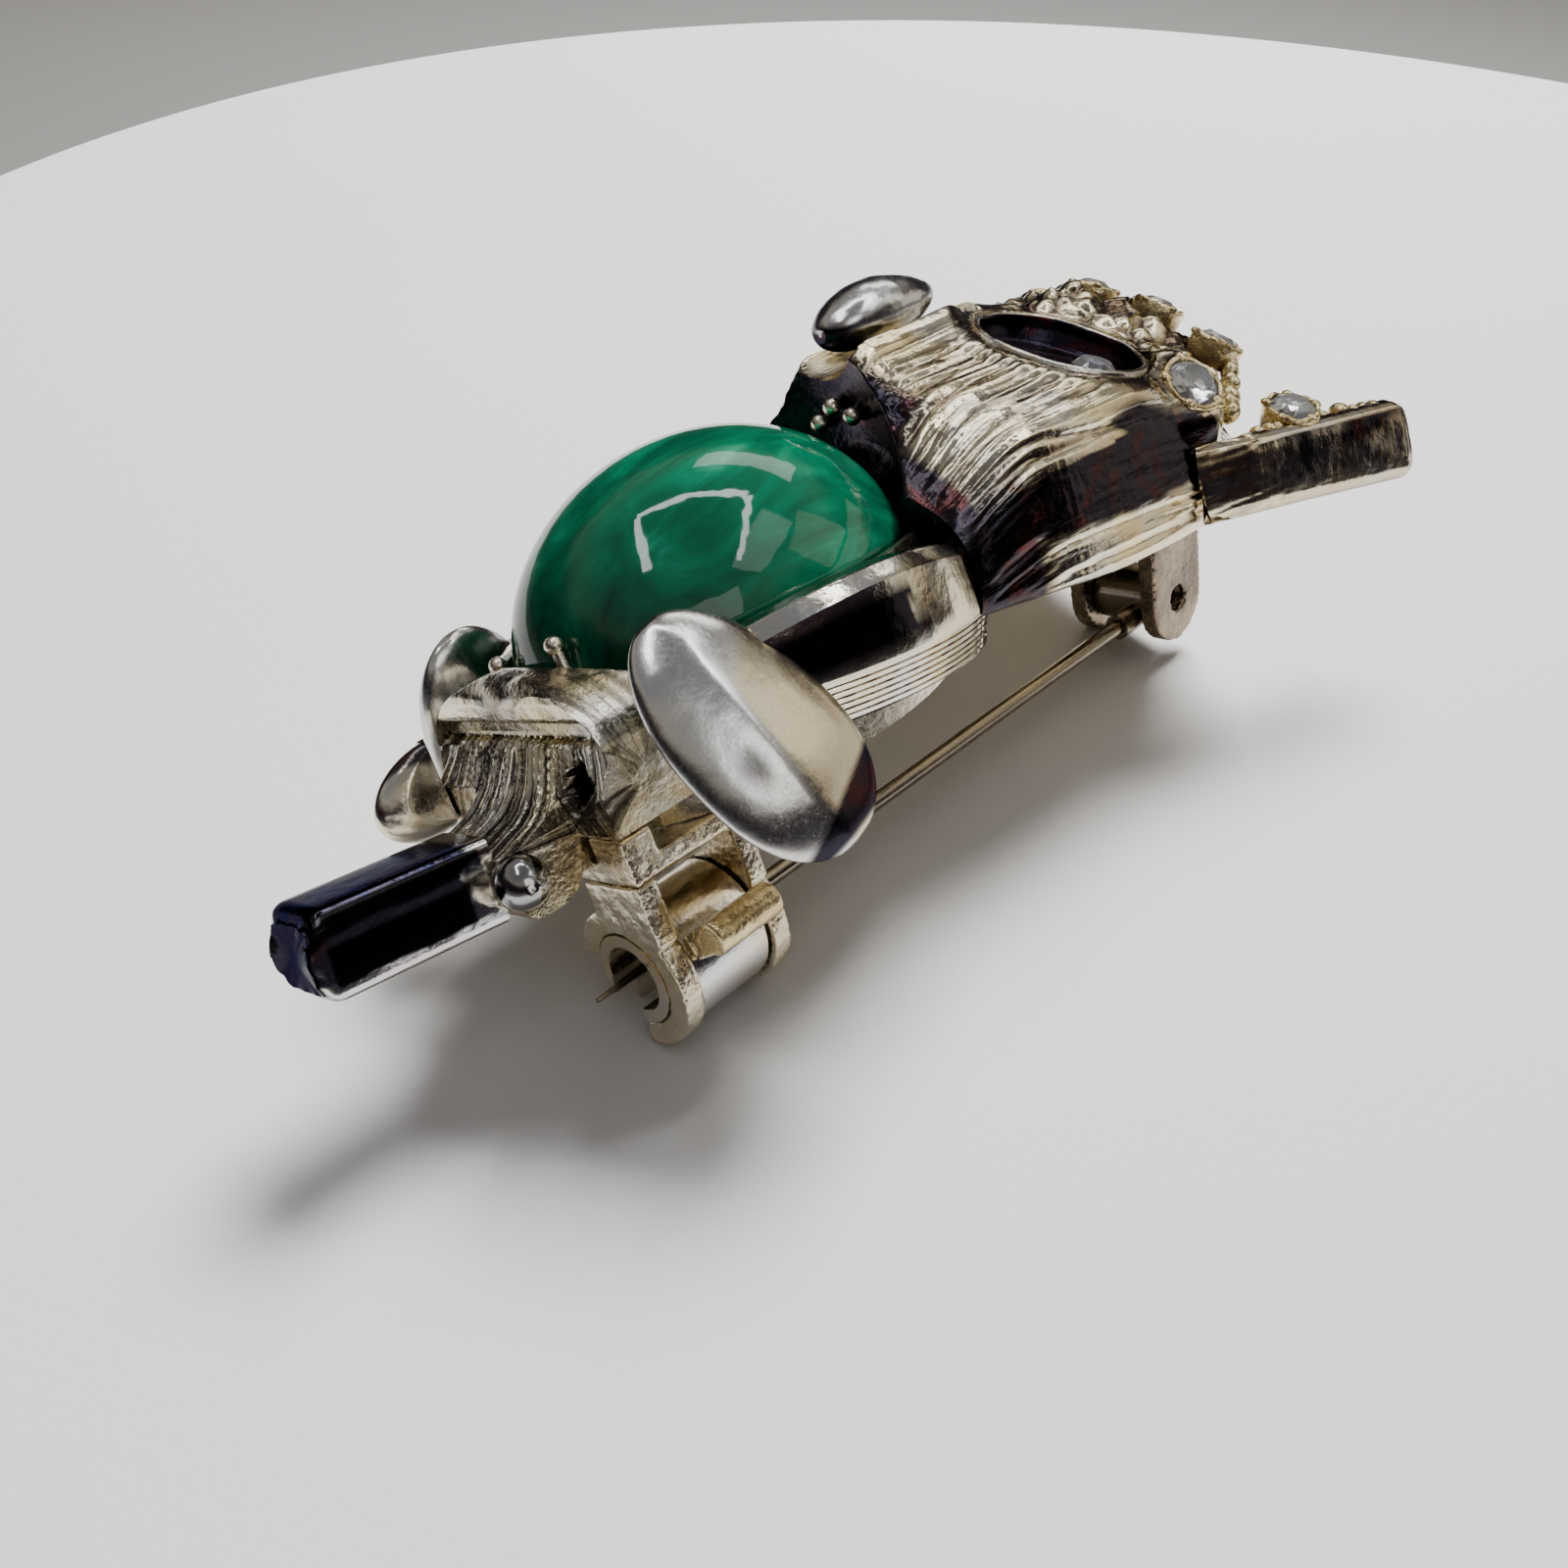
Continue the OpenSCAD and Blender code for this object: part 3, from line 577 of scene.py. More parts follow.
def foot(u, v):
    s = -0.985 + 1.97 * v
    a = 2 * math.pi * u
    q = max(0.0, 1 - abs(s) ** 2.4)
    w = 2.8 * q ** 0.5 * (1 + 0.1 * s)
    t = 1.15 * q ** 0.6
    cx = math.cos(a)
    x = w * cx
    # two nearly flat faces meet in a worn ridge that drifts towards the tail lower down
    ridge_at = -0.12 - 0.22 * s
    side = (cx - ridge_at) / (1 - ridge_at) if cx > ridge_at else (ridge_at - cx) / (1 + ridge_at)
    crest = math.sqrt(side * side + 0.006)
    shoulder = math.sqrt(max(0.0, 1 - cx ** 10))
    full = math.sqrt(max(0.0, 1 - cx * cx))
    k = 0.28 * full + 0.72 * max(0.0, 1.05 - 0.82 * crest) * shoulder
    k = k * (1 - 0.5 * smooth01(-0.35, -0.75, s)) + full * 0.5 * smooth01(-0.35, -0.75, s)
    y = t * math.copysign(min(1.0, k), math.sin(a))
    outer = y * FOOT_SIDE > 0
    dip = 0.045 * math.exp(-(((x + 1.35) / 0.5) ** 2 + ((4.6 * s - 0.6) / 0.8) ** 2)) if outer else 0.0
    y -= math.copysign(dip, y)
    p = FOOT_MID + FOOT_AX * (4.6 * s) + FOOT_W * x + FOOT_N * y
    d = 0.012 * n3(p.x * 0.8, p.y * 0.8, p.z * 0.8, 2)
    # painted reflections: the dark spot in the dent and the grey patches at the top stand for the room mirrored in the
    # polish, and the cream tint beyond the ridge is a painted reflection of a cream wall; the dark lower end near the
    # table is painted shade
    dent_dark_reflection = math.exp(-(((x + 1.35) / 0.45) ** 2 + ((4.6 * s - 0.6) / 0.7) ** 2)) if outer else 0.0
    top_grey_reflection = 0.35 * smooth01(0.1, 0.6, n3(x * 1.1, s * 1.2, 3.0, 4)) * smooth01(-0.1, -0.5, s)
    cream_wall_reflection = smooth01(ridge_at + 0.02, ridge_at + 0.12, cx) * smooth01(-0.42, -0.22, s + 0.25 * cx)
    return p + FOOT_N * d, (0.0, max(0.95 * smooth01(0.66, 0.74, s + 0.12 * cx) * smooth01(0.97, 0.92, s), 0.7 * dent_dark_reflection, top_grey_reflection), 0.75 * cream_wall_reflection)


part = loft(foot, 120, 80)
build("foot_near", part[0], part[1], M_FOOT, ["foot_right"], cav=part[2], angle=70)
m = mirrored(part)
build("foot_far", m[0], m[1], M_FOOT, ["foot_left"], cav=m[2], angle=70)


# ---- wings
def wing_edge(y):
    inn = 6.62 * math.sqrt(1 - (y / 11.5) ** 2) + 0.1
    out = inn + 1.75 - 0.0175 * y * y
    top = 1.15 - 0.022 * (y + 2) ** 2
    bot = -3.3 - 0.12 * (y + 2)
    return inn, out, top, bot


def wing(u, v):
    y = -5.9 + 12.4 * v
    inn, out, top, bot = wing_edge(y)
    strip = 1.55
    outline = [(inn, bot), (inn, top - 0.3), (inn + 0.12, top - 0.12), (inn + 0.3, top), (out - 0.55, top), (out - 0.5, top - 0.02),
               (out - 0.12, top - 0.42), (out - 0.06, top - 0.5), (out, bot + strip + 0.1), (out - 0.03, bot + strip)]
    n = 7
    for i in range(n):
        t0, t1, t2 = i / n, (i + 0.72) / n, (i + 0.86) / n
        for t, dip in ((t0 + 0.02, 0.0), (t1, 0.0), (t2, 0.09)):
            outline.append((out - 0.04 - 0.62 * t - dip * 0.9, bot + strip * (1 - t) + 0.02 + dip * 0.15))
    outline.append((out - 0.72, bot))
    k = u * len(outline)
    i = int(k) % len(outline)
    p, q = outline[i], outline[(i + 1) % len(outline)]
    t = k - int(k)
    x, z = p[0] + (q[0] - p[0]) * t, p[1] + (q[1] - p[1]) * t
    cav = 0.0
    if 9 < k < len(outline) - 1:
        cav = 0.55 * max(0.0, n3(y * 1.4, z * 3, 4.0, 2)) + (0.75 if (int(k) - 10) % 3 == 2 else 0.0)
    crack = smooth01(4.3, 6.3, y)
    d = crack * 0.11 * ridge(n3(y * 1.3, z * 1.1, x * 0.8, 3)) + 0.01 * n3(y * 0.5, z, x, 2)
    cav = max(cav, crack * ridge(n3(y * 1.3, z * 1.1, x * 0.8, 3)))
    x -= d * (1 if x > (inn + out) / 2 else 0)
    z -= d * (0.6 if z > top - 0.2 else 0)
    # tucked back from the cup
    lim = 0.0
    if abs(y) < CUP_A:
        lim = CUP_B * math.sqrt(1 - (y / CUP_A) ** 2)
    x = max(x, lim + 0.03)
    # painted reflection: the outer face is painted dark towards the front and in a fainter band behind it, for the
    # dark room mirrored in the polish
    face = smooth01(top - 0.55, top - 0.7, z) * smooth01(bot + strip + 0.02, bot + strip + 0.2, z) if x > (inn + out) / 2 else 0.0
    edge = 1.1 + 1.1 * noise.noise(Vector((z * 0.9, 3.0, 1.0))) + 0.3 * noise.noise(Vector((z * 4, y * 2, 1.0)))
    red = smooth01(edge, edge + 0.1, y) * smooth01(edge + 1.3, edge + 1.1, y) * smooth01(-0.5, -0.9, z) * smooth01(bot + strip, bot + strip + 0.3, z)
    dark = face * max(0.93 * smooth01(edge + 0.1, edge - 0.1, y), 0.62 * red)
    warm = 0.8 * smooth01(edge, edge + 0.3, y) * smooth01(top - 0.3, top - 0.7, z)
    return Vector((x, y, z)), (cav, dark, warm)


n_out = 10 + 21 + 1
part = loft(wing, n_out * 4, 150)
build("wing_near", part[0], part[1], M_WING, ["wing_right"], cav=part[2], angle=24)
m = mirrored(part)
build("wing_far", m[0], m[1], M_WING, ["wing_left"], cav=m[2], angle=24)

# ---- head
EYE = Vector((4.2, 17.4, 4.0))
EYE_R, EYE_DEPTH = 3.65, 1.6
EYE_TURN = rot_xy(-11, 30)


def turned(ax, ay):
    return Matrix.Rotation(math.radians(ay), 3, "Y") @ Matrix.Rotation(math.radians(ax), 3, "X")


BROW = [((1.5, 24.2, 5.0), 18, 28, 1), ((4.0, 24.9, 3.5), 28, 30, 1), ((6.6, 24.6, 1.6), 36, 24, 1), ((7.85, 20.1, 0.95), 56, -6, 1.2)]
EAR_SEAT = ((9.1, 25.0, -1.75), 30, -4, 1.05)


def head_outline(y):
    w = 7.3 + 0.12 * (y - 5) if y < 11 else (8.0 + 0.04 * (y - 11) if y < 20.5 else 8.4 - 0.5 * (y - 20.5))
    if y < 9:
        h = 3.0 + 1.05 * (y - 5)
    elif y < 15.5:
        h = 7.2
    else:
        h = max(6.0, 7.2 - 0.343 * (y - 15.5)) if y < 22 else 6.0 - 0.55 * (y - 22)
    f = min(h, 6.0)
    s = 0.44 * (y - 5) if y < 10 else (2.2 if y < 16 else 2.2 - 0.3 * (y - 16))
    b = -3.0 - 0.16 * (y - 5) * (1 if y < 13 else 13 / (y + 5) * 1.4)
    pts = [(w * 0.94, b), (-w * 0.94, b), (-w, b + 0.6), (-w, s - 0.6), (-w * 0.93, s + 0.5), (-w * 0.7, s + (f - s) * 0.52),
           (-w * 0.4, s + (f - s) * 0.8), (-w * 0.18, h), (w * 0.18, h), (w * 0.4, s + (f - s) * 0.8), (w * 0.7, s + (f - s) * 0.52),
           (w * 0.93, s + 0.5), (w, s - 0.6), (w, b + 0.6)]
    return pts, w, h, s, b


HEAD_NU, HEAD_NV = 420, 300
_rings = {}


def head_ring(j):
    if j not in _rings:
        t = j / HEAD_NV
        y = 5.35 + 20.6 * t
        # three neighbouring outlines are averaged, so that the casting has no sharp step
        near_by = [head_outline(y + step) for step in (-0.45, 0.0, 0.45)]
        pts = [tuple(sum(o[0][k][c] for o in near_by) / 3 for c in (0, 1)) for k in range(len(near_by[0][0]))]
        _, w, h, s, b = near_by[1]
        shrink = 1 - 0.10 * smooth01(0.93, 1.0, t) ** 2
        _rings[j] = (y, [(x * shrink, z) for x, z in resample(chaikin(pts, 3), HEAD_NU)], w, h, s, b)
    return _rings[j]


def head(u, v):
    j, i = round(v * HEAD_NV), round(u * HEAD_NU) % HEAD_NU
    y, ring, w, h, s, b = head_ring(j)
    x, z = ring[i]
    x0, z0 = ring[(i - 1) % HEAD_NU]
    x1, z1 = ring[(i + 1) % HEAD_NU]
    nx, nz = (z0 - z1), (x1 - x0)
    ln = math.hypot(nx, nz) or 1.0
    nx, nz = nx / ln, nz / ln
    if nx * x + nz * (z - (h + b) / 2) < 0:
        nx, nz = -nx, -nz
    arc = i * 0.105
    ax = abs(x)
    side = smooth01(1.4, 2.6, ax) * smooth01(b + 0.05, b + 0.5, z) * smooth01(5.6, 7.0, y)
    warp = 0.5 * noise.noise(Vector((arc * 0.2, y * 0.13, 2.0)))
    sgn = 5.0 if x < 0 else 0.0
    lower = smooth01(s - 0.9, s - 1.7, z)
    hem = smooth01(b + 2.5, b + 1.9, z - 0.25 * noise.noise(Vector((y * 0.8, 1.0, 4.0))))
    g1 = ridge(noise.noise(Vector((arc * 1.5 + warp, y * 0.05, sgn))))
    g2 = ridge(noise.noise(Vector((arc * 3.4 + warp * 2, y * 0.11, 7 + sgn))))
    g3 = ridge(noise.noise(Vector((arc * 0.9 + warp, y * 0.09, 11 + sgn)))) ** 2
    calm = lower * (1 - hem)
    d = side * ((0.13 - 0.11 * calm) * g1 + (0.06 - 0.05 * calm) * g2 + 0.12 * g3 * (1 - lower) + 0.02 * n3(arc * 2.0, y * 0.3, 3.0))
    cav = side * max(0.9 * g1 ** 2.2, 0.4 * g2 ** 2, 0.95 * g3 ** 2) * (1 - 0.6 * calm) * (1 - 0.45 * hem)
    warm = side * (1 - lower) * 0.85 * smooth01(0.0, 0.35, noise.noise(Vector((arc * 0.7, y * 0.22, 51.0 + sgn))) + 0.12)
    # painted reflection: below the shoulder line the sides are painted near black, broken up by the mirror and streak
    # noise, for the dark room mirrored in the polish
    mirror = noise.noise(Vector((arc * 0.55, y * 0.10, 21.0 + sgn)))
    streak = smooth01(0.22, 0.34, abs(noise.noise(Vector((arc * 1.6, y * 0.12, 31.0 + sgn))))) if calm < 0.95 else 0.0
    dark = side * smooth01(s - 0.7, s - 1.4, z + 0.8 * mirror) * (1 - hem) * (1 - 0.8 * smooth01(19.4, 20.8, y + 0.5 * mirror)) * (1 - 0.75 * streak) * smooth01(7.0, 8.5, y)
    # the rough, beaded brow and the lumps under the beak
    brow = smooth01(19.7, 20.7, y + 0.12 * z + 0.5 * noise.noise(Vector((y, z, 6.0)))) * smooth01(-2.6, -1.6, z)
    chin = smooth01(9.3, 8.2, y) * smooth01(5.2, 4.0, ax) * smooth01(-0.5, 0.8, z)
    for amount, size, depth in ((brow, 0.95, 0.5), (chin, 1.7, 0.14)):
        if amount > 0:
            cell = noise.voronoi(Vector((x * size, y * size, z * size)))[0]
            d = d * (1 - amount) + amount * (depth * min(1.0, cell[0] * 1.25) + 0.05 * n3(x * 2, y * 2, z * 2))
            cav = cav * (1 - amount) + amount * smooth01(0.3, 0.7, cell[0])
            dark = dark * (1 - amount)
    # painted shade under the beak, on the chin and where the head meets the stone cup
    dark = max(dark, 0.9 * smooth01(9.6, 8.4, y) * smooth01(5.0, 2.0, z + 0.25 * ax), 0.9 * chin, 0.9 * smooth01(7.2, 6.4, y))
    p = Vector((x - nx * d, y, z - nz * d))
    # the surface runs up to each eye's rim and drops inside it
    m = Vector((abs(p.x), p.y, p.z))
    q = EYE_TURN.transposed() @ (m - EYE)
    r = math.hypot(q.x, q.y)
    if q.z > -3.0 and r < 5.0:
        if r < EYE_R + 0.03:
            q.z = -EYE_DEPTH - 0.15
        else:
            blend = smooth01(4.9, EYE_R + 0.1, r)
            q.z = q.z * (1 - blend) + (0.02 + 0.25 * (q.z - 0.02)) * blend
        m = EYE_TURN @ q + EYE
        p = Vector((math.copysign(m.x, p.x) if ax > 1e-6 else p.x, m.y, m.z))
        # inside the rim the surface is painted black: painted shade and painted reflection, as in the eye hollows
        if r < EYE_R + 0.03:
            cav, dark = 1.0, 1.0
    warm = max(warm, brow)
    for seat, ay, bx, size in BROW:
        t = turned(-bx, ay) * size
        m = Vector((abs(p.x), p.y, p.z))
        q = t.transposed() @ (m - Vector(seat)) / (size * size)
        r = math.hypot(q.x, q.y)
        if r < 2.3 and q.z > -2.5:
            if r < 1.12:
                q.z = min(q.z, -0.6)
            else:
                blend = smooth01(2.3, 1.2, r)
                q.z = q.z * (1 - blend) + min(0.12, q.z + 0.7) * blend
            m = t @ q + Vector(seat)
            p = Vector((math.copysign(m.x, x), m.y, m.z))
    # saddle for the beak
    if abs(p.x) < 1.7 and 1.0 < p.y < 17.3:
        floor = 7.55 - math.sqrt(max(0.0, 1.72 ** 2 - p.x ** 2))
        p.z = min(p.z, floor)
    if v > 0.985:
        cav, warm = 0.35 + 0.3 * noise.noise(Vector((x, z, 3.0))), 0.6
    return off_cup(p), (cav, dark, warm)


v, f, c = loft(head, HEAD_NU, HEAD_NV)
build("head_casting", v, f, M_HEAD, ["head_shell"], cav=c, angle=80)


# ---- eye dishes and their stones
def dish(u, v):
    a = 2 * math.pi * u
    jag = 0.05 * noise.noise(Vector((math.cos(a) * 3, math.sin(a) * 3, 1.5)))
    prof = [(0.02, -1.1), (2.2, -1.08), (3.0, -0.85), (3.28, -0.3), (3.33, 0.12), (3.42, 0.2), (3.56, 0.16), (3.62, 0.02), (3.62, -1.4), (3.0, -1.52), (0.02, -1.52)]
    k = v * (len(prof) - 1)
    i = min(len(prof) - 2, int(k))
    t = k - i
    r = prof[i][0] + (prof[i + 1][0] - prof[i][0]) * t
    z = prof[i][1] + (prof[i + 1][1] - prof[i][1]) * t
    z += jag * smooth01(2.8, 3.4, r) * smooth01(-0.5, 0.1, z)
    r += jag * 0.5 * smooth01(2.0, 3.0, r)
    # painted shade and painted reflection: the inside of the hollow is painted dark
    inside = 1.0 if k < 4.4 else 0.0
    return EYE_TURN @ Vector((r * math.cos(a), r * math.sin(a), z)) + EYE, (inside, inside)


part = loft(dish, 140, 40)
build("eye_hollow_near", part[0], part[1], M_DISH, ["eye_dish_right"], cav=part[2], angle=60)
m = mirrored(part)
build("eye_hollow_far", m[0], m[1], M_DISH, ["eye_dish_left"], cav=m[2], angle=60)


def gem(centre, turn, r, lift=0.0, h=0.45, low=-0.3):
    """A round cut stone: girdle, eight crown facets each side of a table."""
    prof = [(0.02, low - 0.1), (r * 0.85, low), (r, 0.0), (r, 0.06), (r * 0.80, h * 0.62), (r * 0.55, h), (0.02, h)]
    vs, fs = [], []
    n = 16
    for k, (rr, z) in enumerate(prof):
        for i in range(n):
            a = 2 * math.pi * (i + (0.5 if k == 4 else 0)) / n
            if k == 4:
                rr = r * (0.82 if i % 2 else 0.77)
            vs.append(Vector(centre) + turn @ Vector((rr * math.cos(a), rr * math.sin(a), z + lift)))
    for k in range(len(prof) - 1):
        for i in range(n):
            a, b = k * n + i, k * n + (i + 1) % n
            fs.append((a, b, b + n))
            fs.append((a, b + n, a + n))
    return vs, fs, [0.0] * len(vs)


part = gem(EYE + EYE_TURN @ Vector((1.75, 0, -0.9)), EYE_TURN, 1.12, 0.1, 0.8)
build("eye_gem_near", part[0], part[1], M_CRYSTAL, ["eye_stone_right"], flat=True)
m = mirrored(part)
build("eye_gem_far", m[0], m[1], M_CRYSTAL, ["eye_stone_left"], flat=True)

# ---- brow: beaded collets and clear stones
def setting(seat, ay, bx, size, tag):
    """A lumpy collet and the stone in it."""
    t = turned(-bx, ay) * size
    s0 = Vector(seat)

    def rim(u, v):
        a = 2 * math.pi * u
        prof = [(0.80, -0.9), (1.12, -0.9), (1.19, -0.1), (1.18, 0.10), (1.10, 0.22), (0.97, 0.2), (0.93, 0.0), (0.80, -0.3)]
        k = v * (len(prof) - 1)
        i = min(len(prof) - 2, int(k))
        r = prof[i][0] + (prof[i + 1][0] - prof[i][0]) * (k - i)
        z = prof[i][1] + (prof[i + 1][1] - prof[i][1]) * (k - i)
        lump = noise.noise(Vector((math.cos(a) * 1.9, math.sin(a) * 1.9, tag)))
        z += 0.16 * lump * smooth01(-0.4, 0.2, z)
        r += 0.03 * lump * smooth01(1.0, 1.15, r) - 0.03
        return s0 + t @ Vector((r * math.cos(a), r * math.sin(a), z)), (max(0.8 * smooth01(1.0, 0.9, r), 0.8 * smooth01(0.1, -0.5, z)), 0.0)

    parts = [loft(rim, 56, 24)]
    for i in range(5):
        a = 2 * math.pi * (i + 0.3 * tag) / 5
        parts.append(ball(s0 + t @ Vector((1.02 * math.cos(a), 1.02 * math.sin(a), 0.12)), 0.2 * size, 16, 10, (1.25, 1.0, 0.8), turned(-bx, ay)))
    return join(*parts), gem(seat, t, 0.96, 0.02, 0.42, -0.15)


near, gems = [], []
for n, spec in enumerate(BROW):
    r, g = setting(*spec, n + 1.0)
    near += [r, mirrored(r)]
    gems += [g, mirrored(g)]
far_ear = Matrix.Rotation(math.radians(8), 3, "Y")
r, g = setting(*EAR_SEAT, 6.0)
for part, group in ((r, near), (g, gems)):
    m = mirrored(part)
    group += [part, ([far_ear @ q for q in m[0]], m[1], m[2])]
# cast grains between the settings and along the top of each ear
for n in range(26):
    k = n / 25
    if k < 0.4:
        q = Vector((6.9 + 3.6 * k, 24.9 - 8.6 * k, 1.1 - 5.2 * k))
    else:
        y = 21.4 + 8.2 * (k - 0.4) / 0.6
        q = Vector((8.75 + 0.17 * (y - 21.4), y, -1.75 - 0.17 * (y - 20.6)))
    q += Vector(noise.noise_vector(Vector((n * 1.7, 2.0, 5.0)))) * 0.28
    if (q - Vector(EAR_SEAT[0])).length > 1.2 and (q - Vector(BROW[3][0])).length > 1.45:
        r0 = 0.40 + 0.16 * noise.noise(Vector((n * 2.3, 1.0, 1.0)))
        grain = ball(q, r0, 18, 12, (1.15, 0.95, 0.85), turned(20 * n, 35 * n))
        near.append(grain)
        m = mirrored(grain)
        near.append(([far_ear @ w for w in m[0]], m[1], m[2]) if k >= 0.4 else m)
allr = join(*near)
build("brow_settings", allr[0], allr[1], M_BROW, ["brow_collets"], cav=allr[2], angle=60)
allg = join(*gems)
build("brow_gems", allg[0], allg[1], M_CRYSTAL, ["brow_stones"], flat=True)

# ---- tail root
SIDE = [(-6.2, -4.6), (-6.2, 0.9), (-7.4, 1.5), (-8.7, 1.7), (-9.4, 1.45), (-9.9, 0.9), (-9.85, 0.1), (-9.3, 0.0), (-9.3, -0.6),
        (-9.75, -0.7), (-10.0, -1.2), (-10.5, -2.0), (-11.2, -2.6), (-12.4, -2.95), (-13.1, -3.1), (-13.1, -4.6), (-12.7, -5.3), (-11.2, -5.3), (-10.45, -4.6)]


def dense(poly, step):
    """Corner-keeping resample: straight runs split into even steps."""
    out = []
    for i, p in enumerate(poly):
        q = poly[(i + 1) % len(poly)]
        n = max(1, round(math.dist(p, q) / step))
        out += [(p[0] + (q[0] - p[0]) * k / n, p[1] + (q[1] - p[1]) * k / n) for k in range(n)]
    return out


TAIL_RING = dense(chaikin(SIDE, 1), 0.07)
TAIL_NX = 170


def tail(u, v):
    i = round(u * len(TAIL_RING)) % len(TAIL_RING)
    y, z = TAIL_RING[i]
    x = -4.93 + 9.86 * v
    arch = -1.2 + 2.75 * math.sqrt(max(0.0, 1 - (x / 4.97) ** 2))
    wob = noise.noise(Vector((x * 0.5, z * 0.35, 4.0)))
    cav = 0.0
    front = y < -9.0 and -3.4 < z < -0.55
    if front:
        fan = x * (1 + 0.10 * (z + 0.6))
        g = ridge(noise.noise(Vector((fan * 3.1 + wob * 0.8, z * 0.2, 1.0))))
        g2 = ridge(noise.noise(Vector((fan * 6.5 + wob, z * 0.4, 6.0))))
        y += 0.15 * g + 0.06 * g2
        z -= 0.04 * g
        # the grooves, and the face darker towards the bottom, next to the bar
        cav = max(1.0 * g ** 1.6, 0.6 * g2 * g2) + 0.35 * smooth01(-1.6, -2.8, z)
    elif -9.9 < y and z > 0.3:
        g = ridge(noise.noise(Vector((x * 0.22 + 3, y * 2.4 + 0.35 * math.cos(x * 0.5) + wob, 2.0))))
        z -= 0.12 * g
        cav = 0.8 * g
    elif z > -0.7 and y < -9.2:
        cav = 0.55 + 0.3 * n3(x * 2, z * 2, 1)
    # a deep hole in the concave face; its inside is painted dark, a painted shade
    hole = math.exp(-(((x - 3.5) / 0.85) ** 2 + ((z + 2.2) / 1.0) ** 2))
    if y < -9.2 and hole > 0.05:
        y += 1.3 * smooth01(0.3, 0.6, hole + 0.15 * n3(x * 2, z * 2, 8))
        cav = max(cav, smooth01(0.2, 0.45, hole))
    if abs(x) > 2.4:
        z = max(z, -3.45)
    if z > arch:
        z = arch + 0.06 * (z - arch)
    if abs(x) > 2.4:
        y = max(y, -10.48 + 0.05 * n3(x, z, 2))
    low = -4.8 if abs(x) > 4.9 else -5.4
    z = max(z, low)
    # room for the bar and for the ball
    bq = Matrix.Rotation(math.radians(7), 3, "X") @ (Vector((x, y, z)) - Vector((0.05, -12.95, -3.8)))
    if abs(bq.x) < 1.6 and abs(bq.z) < 1.6 and bq.y < 0.05:
        bq.y = 0.05
        x, y, z = Matrix.Rotation(math.radians(-7), 3, "X") @ bq + Vector((0.05, -12.95, -3.8))
    dv = Vector((x, y, z)) - Vector((2.55, -12.75, -3.85))
    if 0 < dv.length < 0.95:
        dv = dv.normalized() * 0.95
        x, y, z = Vector((2.55, -12.75, -3.85)) + dv
    return off_cup((x, y, z)) if y > -8.76 else Vector((x, y, z)), cav


v, f, c = loft(tail, len(TAIL_RING), TAIL_NX)
build("tail_casting", v, f, M_CAST, ["tail_root"], cav=c, angle=50)


# ---- tail bar
def bar(u, v):
    w, h, L = 1.48, 1.455, 6.42
    bev = 0.24
    sec = chaikin([(-w, -h + bev), (-w + bev, -h), (w - bev, -h), (w, -h + bev), (w, h - bev), (w - bev, h), (-w + bev, h), (-w, h - bev)], 2)
    k = u * len(sec)
    i = int(k) % len(sec)
    t = k - int(k)
    x, z = (sec[i][0] + (sec[(i + 1) % len(sec)][0] - sec[i][0]) * t, sec[i][1] + (sec[(i + 1) % len(sec)][1] - sec[i][1]) * t)
    d = L * v
    end = smooth01(L - 0.9, L, d)
    k = 1 - 0.16 * end ** 2
    rough = smooth01(L - 0.55, L, d)
    bump = 0.07 * n3(x * 1.6, d * 1.6, z * 1.6) * (0.25 + rough)
    p = Vector((x * (k - 0.04 * bump), -d + rough * 0.1 * n3(x * 1.4, z * 1.4, 3), z * (k - 0.04 * bump) - 0.25 * end * (1 if z > 0 else -0.3)))
    p += Vector((0, 0.28 * rough * (abs(z) / h) ** 2, 0))
    cav = rough * 0.5 * smooth01(-0.2, 0.5, n3(x * 1.5, z * 1.5, 5))
    # painted reflection: the top, the end and bands along the sides are painted dark navy, for the dark room mirrored
    # in the polished bar
    painted_reflection = 0.0
    if z > 1.25 and abs(x) < 1.42:
        painted_reflection = 0.9 * smooth01(0.5, 0.9, d)
    elif d > L - 0.12:
        painted_reflection = 0.95
    elif abs(x) > 1.2:
        wav = 0.10 * noise.noise(Vector((d * 0.7, 2.0, 0.5)))
        low = smooth01(-1.0, -0.9, z + wav) * smooth01(0.42, 0.30, z + wav) * smooth01(0.9, 1.2, d) * smooth01(L - 0.5, L - 0.7, d)
        high = smooth01(0.52, 0.66, z + wav) * smooth01(0.35, 0.45, d)
        painted_reflection = max(low, 0.85 * high)
    return Matrix.Rotation(math.radians(-7), 3, "X") @ p + Vector((0.05, -12.95, -3.8)), (cav, painted_reflection)


v, f, c = loft(bar, 128, 90)
build("tail_block", v, f, M_BAR_MIRROR, ["tail_bar"], cav=c, angle=30)


# ---- smooth lip on the far side of the tail
def spur(u, v):
    s = 0.985 - 1.2 * v
    k = math.sqrt(max(0.0, 1 - s * s))
    a = 2 * math.pi * u
    x = -4.78 + 0.72 * k * math.cos(a) - 0.35 * s
    y = -10.75 - 2.3 * s
    z = -1.95 - 0.35 * s + 1.58 * k * math.sin(a)
    x = min(x, -4.36)
    if y > -10.58:
        x = min(x, -5.08)
    # painted reflection: the upper half of the lip is painted dark
    rim = 1 - smooth01(0.75, 0.95, abs(math.cos(a)) * k + abs(s))
    return Vector((x, y, z)), (0.35 * smooth01(-0.4, 0.5, n3(x, y, z)), 0.85 * smooth01(-0.35, 0.1, math.sin(a)) * rim)


v, f, c = loft(spur, 80, 50)
build("tail_lip", v, f, M_SILVER, ["tail_spur"], cav=c, angle=60)


